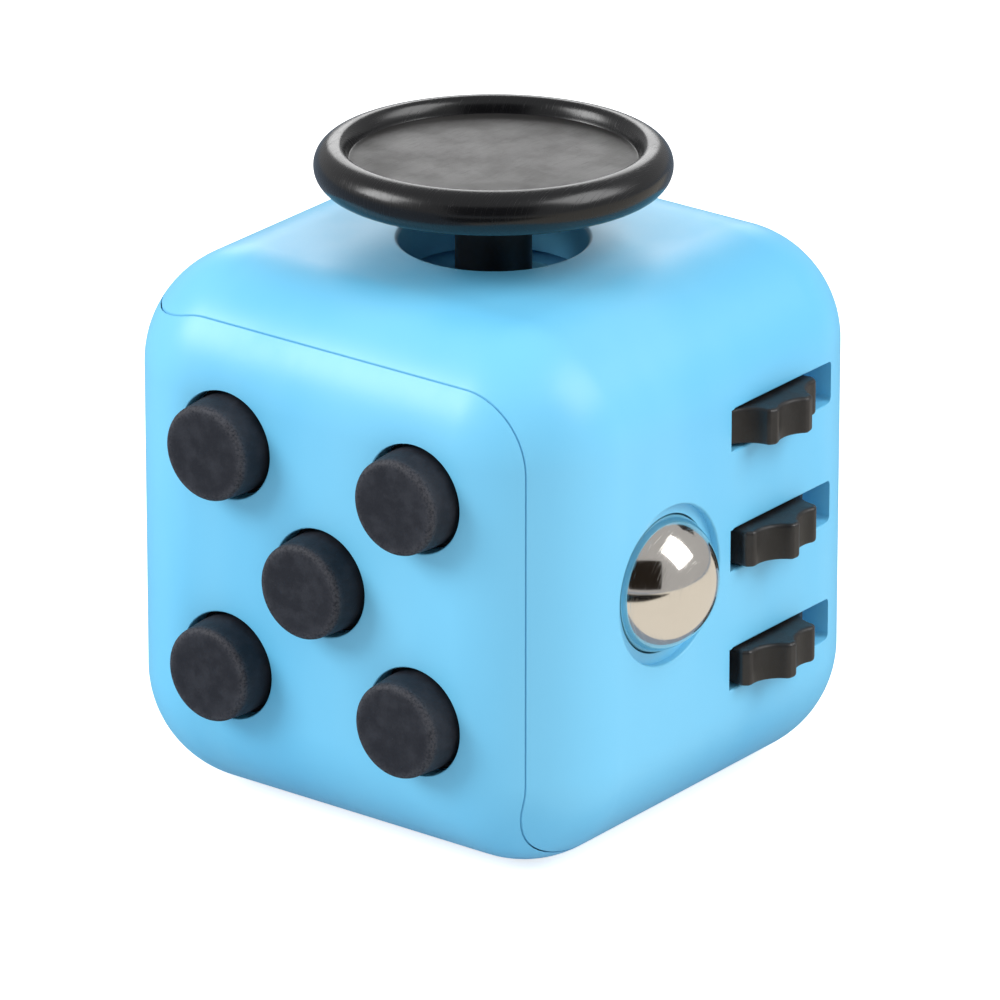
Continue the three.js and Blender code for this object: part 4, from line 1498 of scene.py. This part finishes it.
@dataclass(frozen=True)
class ThumbWheels:
    """Three scalloped wheels on one upright pin, each in its own slot in the right face."""

    cube: CubeSize
    names: tuple[str, ...] = ("low", "middle", "high")
    phases: tuple[float, ...] = (-8, -6, -28.5)
    radius: float = 4.6
    teeth: int = 9
    thickness: float = 2.3
    tooth_half_angle: float = 5.0
    valley: float = 0.65
    bore: float = 1.06
    edge: float = 0.24
    pin_radius: float = 1.0
    slot_y: tuple[float, float] = (1.2, 11.4)
    slot_half_height: float = 1.32
    slot_corner: float = 0.35
    slot_rounding: float = 0.16
    pocket_radius: float = 4.85
    block_x: float = 10.5
    block_y: tuple[float, float] = (-0.1, 12.2)
    block_z: tuple[float, float] = (7.4, 27.6)
    leaf_x: tuple[float, float] = (9.1, 9.4)
    post_radius: float = 1.3
    post_roof: float = -1.4
    screw_radii: tuple[float, float] = (1.1, 0.46)
    screw_length: float = 2.6

    def centres(self) -> list[Vector]:
        """The middle of each wheel, on the pin."""
        pin = cad_middle("wheel_pin")
        return [Vector((pin.x, pin.y, cad_middle(f"wheel_{name}").z)) for name in self.names]

    def outline(self) -> Profile:
        """The scalloped outline: narrow rounded teeth with a wide hollow between each two."""
        pitch = 360 / self.teeth
        edge_angle = math.radians(pitch / 2 - self.tooth_half_angle)
        shoulder = self.radius - 0.1
        edge = (shoulder * math.cos(edge_angle), shoulder * math.sin(edge_angle))
        bottom = self.radius - self.valley
        rise = edge[0] - bottom
        hollow_radius = (edge[1] ** 2 + rise**2) / (2 * rise)
        sweep = math.degrees(math.asin(edge[1] / hollow_radius))
        tip = arc((0, 0), self.radius, -0.55 * self.tooth_half_angle, 0.55 * self.tooth_half_angle, 4)
        hollow = arc((bottom + hollow_radius, 0), hollow_radius, 180 + sweep, 180 - sweep, 14)
        points: list[Vector] = []
        for tooth in range(self.teeth):
            for part, degrees in ((tip, tooth * pitch), (hollow, (tooth + 0.5) * pitch)):
                turn = Matrix.Rotation(math.radians(degrees), 2)
                points += [turn @ Vector(point) for point in part]
        for _ in range(2):
            after = points[1:] + points[:1]
            points = [p for a, b in zip(points, after) for p in (a.lerp(b, 0.25), a.lerp(b, 0.75))]
        return [(point.x, point.y) for point in points]

    def wheel(self) -> Mesh:
        """One wheel around +Z with soft edges and a bore."""
        outline = [Vector(point) for point in self.outline()]
        count = len(outline)
        half = self.thickness / 2
        outward = []
        for i in range(count):
            along = (outline[(i + 1) % count] - outline[i - 1]).normalized()
            outward.append(Vector((along.y, -along.x)))

        def ring(inset: float, height: float) -> list[Vector]:
            """The outline drawn in by an inset."""
            return [Vector((*(p - n * inset), height)) for p, n in zip(outline, outward)]

        def bore_ring(radius: float, height: float) -> list[Vector]:
            """A circle with a point at the angle of each outline point."""
            return [Vector((*(p.normalized() * radius), height)) for p in outline]

        quarter = arc((0, 0), self.edge, 90, 0, 5)
        top = [ring(self.edge - x, half - self.edge + y) for x, y in quarter]
        low = [ring(self.edge - x, -half + self.edge - y) for x, y in reversed(quarter)]
        ease = 0.12
        bore = [
            bore_ring(self.bore + ease, -half),
            bore_ring(self.bore, -half + ease),
            bore_ring(self.bore, half - ease),
            bore_ring(self.bore + ease, half),
        ]
        flat = [bore_ring(self.radius - self.valley - 0.7, half)]
        under = [bore_ring(self.radius - self.valley - 0.7, -half)]
        mesh = lofted([*bore, *flat, *top, *low, *under], looped=True)

        # On the wheels the mask is tooth-tip wear only.
        def wear_and_edge_highlight(point: Vector) -> float:
            """How rubbed a point is: most at the tooth tips."""
            reach = Vector((point.x, point.y)).length
            return max(0.0, min(1.0, (reach - (self.radius - 0.35)) / 0.3))

        return painted(mesh, "wear_and_edge_highlight", wear_and_edge_highlight)

    def leaf_screw_places(self) -> list[Vector]:
        """Where each leaf screw's head meets the click spring."""
        return screw_seats("leaf_screw", 2, Vector((1, 0, 0)))

    def screws(self, recipe: ScrewRecipe) -> Mesh:
        """The click spring's screws, driven towards the right face."""
        return recipe.row(self.leaf_screw_places(), Vector((1, 0, 0)), self.screw_radii, self.screw_length)

    def shell_work(self) -> list[ShellWork]:
        """The block behind the slots with its pockets, pin bore and screw posts."""
        face, inner = self.cube.half, self.cube.inner + BITE
        (y_low, y_high), (z_low, z_high) = self.block_y, self.block_z
        outside = block((self.block_x, y_low, z_low), (inner, y_high, z_high))
        cuts = []
        slot_half = (self.slot_half_height, (self.slot_y[1] - self.slot_y[0]) / 2)
        slot_middle = (self.slot_y[0] + self.slot_y[1]) / 2
        for centre in self.centres():
            outline = rounded_rectangle(slot_half, self.slot_corner)
            slot = hole_cutter(outline, self.slot_rounding, face - centre.x)
            cuts.append(placed(slot, Aim.RIGHT, (face, slot_middle, centre.z)))
            reach = self.slot_half_height
            pocket = rod(circle(self.pocket_radius), centre.z - reach, centre.z + reach)
            cuts.append(placed(pocket, at=(centre.x, centre.y, 0)))
        pin = self.centres()[0]
        bore = rod(circle(self.pin_radius + 0.03, 48), z_low - 1, z_high + 1)
        cuts.append(placed(bore, at=(pin.x, pin.y, 0)))
        work = [ShellWork((outside,), tuple(cuts))]
        for place in self.leaf_screw_places():
            end = Vector((self.leaf_x[1] + 0.05, place.y, place.z))
            length = self.block_x + 0.1 - end.x
            bore = self.screw_radii[1] + SHANK_GAP
            work.append(boss(end, Aim.RIGHT, length, self.post_radius, bore, self.post_roof))
        return work

    def build(self) -> None:
        """Makes the wheels and dresses the pin and the click spring."""
        for name, phase, centre in zip(self.names, self.phases, self.centres()):
            wheel = placed(self.wheel(), at=centre, spin=phase)
            Piece(f"thumb_wheel_{name}", WHEEL_BLACK, f"{name}_wheel", (f"wheel_{name}",), 50).made(wheel)
        dress(BALL_STEEL, "wheel_pin")
        dress(SPRING_STEEL, "wheel_click_leaf")


# ------------------------------------------------------------------ dial


@dataclass(frozen=True)
class Dial:
    """A spinning dial on the back face with a dimple for a fingertip."""

    cube: CubeSize
    radius: float = 9.0
    face_y: tuple[float, float] = (17.15, 19.0)
    edge: float = 0.5
    hub_radius: float = 2.4
    hub_end_y: float = 15.35
    bore: float = 0.72
    hole_radius: float = 2.5
    dimple_offset: float = 5.3
    dimple_radius: float = 2.6
    dimple_depth: float = 1.0
    washer_y: float = 14.5
    screw_radii: tuple[float, float] = (1.6, 0.66)
    screw_length: float = 3.2

    def shell_work(self) -> list[ShellWork]:
        """The hole that the hub turns in."""
        hole = rod(circle(self.hole_radius, 64), self.cube.inner - 1, self.cube.half + 1)
        return [ShellWork((), (placed(hole, Aim.BACK, (0, 0, self.cube.half)),))]

    def body(self) -> Mesh:
        """The disc and hub around +Z, with the dimple cut in."""
        low, high = self.face_y
        edge, radius = self.edge, self.radius
        profile = [
            (0, low + 0.9),
            (self.bore, low + 0.9),
            (self.bore, self.hub_end_y),
            (self.hub_radius - 0.15, self.hub_end_y),
            (self.hub_radius, self.hub_end_y + 0.15),
            (self.hub_radius, low),
            (radius - 0.2, low),
            *arc((radius - 0.2, low + 0.2), 0.2, -90, 0, 5)[1:],
            *arc((radius - edge, high - edge), edge, 0, 90, 10),
            (radius - edge - 0.4, high),
            (0, high),
        ]
        disc = turned(profile, 160)
        sphere = (self.dimple_radius**2 + self.dimple_depth**2) / (2 * self.dimple_depth)
        rim = math.degrees(math.asin(self.dimple_radius / sphere))
        hollow = arc((0, sphere - self.dimple_depth), sphere, -90, -90 + rim * 0.86, 20)
        last = hollow[-1]
        lip = [(self.dimple_radius + 0.02, -0.14), (self.dimple_radius + 0.24, -0.035),
               (self.dimple_radius + 0.5, 0.0), (self.dimple_radius + 2.2, 0.3)]
        lip = [point for point in lip if point[0] > last[0]]
        dimple = turned([*hollow, *lip, (0, 0.3)], 96)
        return combined(disc, Combine.CUT, placed(dimple, at=(0, -self.dimple_offset, high)))

    def build(self, screws: ScrewRecipe) -> None:
        """Makes the dial and its screw, and dresses the washer."""
        body = placed(self.body(), Aim.BACK, (0, 0, self.cube.half))
        body = painted(body, "satin", lambda point: 0.12)
        Piece("spinning_dial", GLOSS_BLACK, "dial", ("dial",), 32).made(body)
        place = Vector((0, self.washer_y, self.cube.half))
        screw = screws.row([place], Vector((0, 1, 0)), self.screw_radii, self.screw_length)
        Piece("dial_centre_screw", SCREW_STEEL, "dial", ("dial_screw",)).made(screw)
        dress(SCREW_STEEL, "dial_washer")


# ------------------------------------------------------------------ flip switch


@dataclass(frozen=True)
class FlipSwitch:
    """A rocker in the left face that clicks over a sprung plunger."""

    cube: CubeSize
    pivot: tuple[float, float, float] = (-14.13, 0.0, 17.0)
    rest_tilt: float = 12.0
    width: float = 6.7
    height: float = 5.9
    face_out: tuple[float, float] = (3.4, 4.4)
    soft_edge: float = 0.32
    pin_radius: float = 0.8
    plunger_bore: float = 0.95
    plunger_bore_start: float = 1.2
    nib_end: float = -3.6
    opening_half: tuple[float, float] = (3.6, 6.85)
    opening_corner: float = 0.6
    opening_rounding: float = 0.26
    boss_radius: float = 1.6
    bracket_front_x: float = -13.9
    plunger_spring_length: float = 1.6
    post_roof: float = -0.5
    screw_radii: tuple[float, float] = (1.4, 0.66)
    screw_length: float = 3.1

    def screw_places(self) -> list[Vector]:
        """Where each bracket screw's head meets the bracket."""
        return screw_seats("bracket_screw", 2, Vector((-1, 0, 0)))

    def screws(self, recipe: ScrewRecipe) -> Mesh:
        """The bracket's screws, driven towards the left face."""
        return recipe.row(self.screw_places(), Vector((-1, 0, 0)), self.screw_radii, self.screw_length)

    def shell_work(self) -> list[ShellWork]:
        """The opening, and the posts that the bracket is screwed to."""
        half_y, half_z = self.opening_half
        outline = rounded_rectangle((half_z, half_y), self.opening_corner)
        opening = hole_cutter(outline, self.opening_rounding, self.cube.wall + 1)
        opening = placed(opening, Aim.LEFT, (-self.cube.half, 0, self.cube.half))
        work = [ShellWork((), (opening,))]
        for place in self.screw_places():
            end = Vector((self.bracket_front_x - 0.1, place.y, place.z))
            length = self.cube.inner + BITE + end.x
            bore = self.screw_radii[1] + SHANK_GAP
            work.append(boss(end, Aim.LEFT, length, self.boss_radius, bore, self.post_roof))
        return work

    def paddle(self) -> Mesh:
        """The paddle in the plane across its pin, where -X points out of the cube."""
        middle, tip = self.face_out
        sag = tip - middle
        radius = (self.height**2 + sag**2) / (2 * sag)
        sweep = math.degrees(math.asin(self.height / radius))
        face = arc((middle + radius, 0), radius, 180 + sweep, 180 - sweep, 28)
        outline = [
            (0.6, -6.1), *face, (0.6, 6.1), (0.6, 2.0), (-0.8, 1.9), (self.nib_end, 1.5),
            (self.nib_end, -1.5), (-0.8, -1.9), (0.6, -2.0),
        ]
        half = self.width / 2
        rings = [[Vector((-out, y, along)) for out, along in outline] for y in (-half, half)]
        paddle = bevelled(lofted(rings), self.soft_edge, 4)
        pin = placed(rod(circle(self.pin_radius + 0.05, 40), -self.width, self.width), Aim.BACK)
        bore = rod(circle(self.plunger_bore, 40), self.plunger_bore_start, 1 - self.nib_end)
        return combined(paddle, Combine.CUT, pin, placed(bore, Aim.RIGHT))

    def tilted(self, mesh: Mesh) -> Mesh:
        """Puts a mesh made about the pin at the paddle's rest tilt."""
        tilt = Matrix.Rotation(math.radians(self.rest_tilt), 4, "Y")
        mesh.transform(Matrix.Translation(Vector(self.pivot)) @ tilt)
        return mesh

    def build(self, springs: SpringRecipe) -> None:
        """Makes the paddle and its plunger spring, and dresses the rest."""
        paddle = painted(self.tilted(self.paddle()), "satin", lambda point: 0.35)
        Piece("flip_switch_paddle", GLOSS_BLACK, "rocker", ("rocker",), 32).made(paddle)
        coil = springs.coil((0.62, 0.62), self.plunger_spring_length, 4, 0.12)
        coil = self.tilted(placed(coil, Aim.RIGHT, (self.plunger_bore_start, 0, 0)))
        node = "rocker_plunger_spring"
        Piece(node + "_coil", SPRING_STEEL, "rocker", (node,), 180).made(coil, weighted=False)
        dress(INNER_PLASTIC, "rocker_bracket")
        dress(BALL_STEEL, "rocker_pin", "rocker_plunger")


# ------------------------------------------------------------------ studio


@dataclass(frozen=True)
class Viewpoint:
    """Where the camera stands, in degrees and millimetres round the cube's middle."""

    azimuth: float = 37.46
    elevation: float = 21.86
    distance: float = 621.3
    height: float = 17.0
    lens: float = 369.7
    shift: float = 0.0065

    def build(self) -> None:
        """Makes the camera and sets it as the scene's own."""
        across, up = math.radians(self.azimuth), math.radians(self.elevation)
        back = Vector((math.sin(across) * math.cos(up), -math.cos(across) * math.cos(up), math.sin(up)))
        data = bpy.data.cameras.new("camera")
        data.lens = self.lens
        data.shift_x = self.shift
        data.clip_start, data.clip_end = 0.01, 20
        camera = bpy.data.objects.new("camera", data)
        camera.location = (Vector((0, 0, self.height)) + back * self.distance) * MM
        camera.rotation_euler = (-back).to_track_quat("-Z", "Y").to_euler()
        bpy.context.scene.collection.objects.link(camera)
        bpy.context.scene.camera = camera


@dataclass(frozen=True)
class Panel:
    """A soft area light: where it hangs, how large it is and how strong."""

    name: str
    at: tuple[float, float, float]
    size: tuple[float, float]
    power: float
    tint: tuple[float, float, float] = (1.0, 1.0, 1.0)
    towards: tuple[float, float, float] = (0.0, 0.0, 20.0)

    def build(self) -> None:
        """Hangs the light and aims it."""
        data = bpy.data.lights.new(self.name, "AREA")
        data.shape = "RECTANGLE"
        data.size, data.size_y = self.size[0] * MM, self.size[1] * MM
        data.energy = self.power
        data.color = self.tint
        light = bpy.data.objects.new(self.name, data)
        light.location = Vector(self.at) * MM
        aim = Vector(self.towards) - Vector(self.at)
        light.rotation_euler = aim.to_track_quat("-Z", "Y").to_euler()
        bpy.context.scene.collection.objects.link(light)


class Ray(Enum):
    """The kinds of light ray that a stage sheet can be shown to."""

    CAMERA = "visible_camera"
    DIFFUSE = "visible_diffuse"
    GLOSSY = "visible_glossy"


@dataclass(frozen=True)
class Sheet:
    """A flat sheet of the stage that one kind of ray sees: part of the floor, or a card for reflections."""

    name: str
    shown_to: Ray
    at: tuple[float, float, float]
    size: tuple[float, float]
    tone: Colour = colour(0, 0, 0)
    glow: Colour = colour(0, 0, 0)
    facing: tuple[float, float, float] = (0, 0, 1)

    def build(self) -> None:
        """Places the sheet so that it casts no shadow."""
        half_w, half_h = self.size[0] / 2, self.size[1] / 2
        corners = ((-half_w, -half_h), (half_w, -half_h), (half_w, half_h), (-half_w, half_h))
        mesh = bpy.data.meshes.new(self.name)
        mesh.from_pydata([Vector((x, y, 0)) for x, y in corners], [], [(0, 1, 2, 3)])
        turn = Vector(self.facing).to_track_quat("Z", "Y").to_matrix().to_4x4()
        mesh.transform(Matrix.Scale(MM, 4) @ Matrix.Translation(Vector(self.at)) @ turn)
        material = bpy.data.materials.new(self.name)
        surface = {"Base Color": self.tone, "Roughness": 0.9, "Specular IOR Level": 0.0}
        SurfaceGraph(material).close({**surface, "Emission Color": self.glow, "Emission Strength": 1.0})
        mesh.materials.append(material)
        sheet = bpy.data.objects.new(self.name, mesh)
        for ray in Ray:
            setattr(sheet, ray.value, ray is self.shown_to)
        sheet.visible_transmission = False
        sheet.visible_shadow = False
        bpy.context.scene.collection.objects.link(sheet)


FLOOR = (6000.0, 6000.0)
DARK = colour(0.018, 0.014, 0.011)


@dataclass(frozen=True)
class Studio:
    """A plain white sweep under soft light, with dark cards for the glossy parts to mirror."""

    sky: float = 0.64
    mirrored_sky: float = 0.45
    panels: tuple[Panel, ...] = (
        Panel("key", (-434, -420, 367), (320, 320), 3.1),
        Panel("right", (430, 200, 460), (420, 420), 2.6),
        Panel("left_back", (-450, 590, 300), (400, 300), 1.2),
    )
    sheets: tuple[Sheet, ...] = (
        Sheet("floor_seen", Ray.CAMERA, (0, 0, -0.01), FLOOR, colour(0.9, 0.9, 0.9), colour(0.7, 0.7, 0.7)),
        Sheet("floor_bounce", Ray.DIFFUSE, (0, 0, -0.02), FLOOR, colour(0.72, 0.72, 0.72)),
        Sheet("floor_mirrored", Ray.GLOSSY, (0, 0, -0.04), FLOOR, glow=colour(0.26, 0.32, 0.40)),
        Sheet("floor_warm", Ray.GLOSSY, (420, 0, -0.03), (800, 700), glow=colour(0.80, 0.75, 0.66)),
        Sheet("card_low", Ray.GLOSSY, (115, -150, 2), (200, 180)),
        Sheet("card_front", Ray.GLOSSY, (255, -350, 230), (470, 400), glow=DARK, facing=(-0.54, 0.70, -0.46)),
    )

    def light_sky(self) -> None:
        """Makes a sky that looks white but lights the scene less."""
        world = bpy.data.worlds.new("white_sky")
        world.use_nodes = True
        tree = world.node_tree
        path = tree.nodes.new("ShaderNodeLightPath")
        background = tree.nodes["Background"]
        background.inputs["Color"].default_value = colour(1, 1, 1)
        strength = None
        for ray, change in (("Is Camera Ray", 1 - self.sky), ("Is Glossy Ray", self.mirrored_sky - self.sky)):
            step = tree.nodes.new("ShaderNodeMath")
            step.operation = "MULTIPLY_ADD"
            step.inputs[1].default_value = change
            step.inputs[2].default_value = self.sky
            tree.links.new(path.outputs[ray], step.inputs[0])
            if strength is not None:
                tree.links.new(strength, step.inputs[2])
            strength = step.outputs[0]
        tree.links.new(strength, background.inputs["Strength"])
        bpy.context.scene.world = world

    def build(self) -> None:
        """Sets the sky, the floor, the lights and the cards."""
        bpy.context.scene.view_settings.view_transform = "Standard"
        self.light_sky()
        for part in (*self.panels, *self.sheets):
            part.build()


# ------------------------------------------------------------------ assembly


def main() -> None:
    """Builds every sub-assembly round the frame."""
    logging.basicConfig(level=logging.INFO, format="%(message)s", stream=sys.stdout)
    Viewpoint().build()
    Studio().build()
    cube = CubeSize()
    springs, screws = SpringRecipe(), ScrewRecipe()
    buttons, joystick, ball = Buttons(cube), Joystick(cube), Ball(cube)
    wheels, dial, switch = ThumbWheels(cube), Dial(cube), FlipSwitch(cube)
    front_work = [*buttons.shell_work(), *switch.shell_work()]
    back_work = [*joystick.shell_work(), *ball.shell_work(), *wheels.shell_work(), *dial.shell_work()]
    Shell(cube).build(front_work, back_work)
    buttons.build(springs)
    joystick.build(springs)
    ball.build(springs)
    wheels.build()
    dial.build(screws)
    switch.build(springs)
    rows = [part.screws(screws) for part in (buttons, joystick, wheels, switch)]
    names = ["backplate_screw_1", "backplate_screw_2", "backplate_screw_3"]
    names += [f"tray_screw_{number}" for number in (1, 2, 3, 4)]
    names += ["leaf_screw_1", "leaf_screw_2", "bracket_screw_1", "bracket_screw_2"]
    Piece("inner_screws", SCREW_STEEL, "cube", tuple(names)).made(joined(rows))


if __name__ == "__main__":
    main()
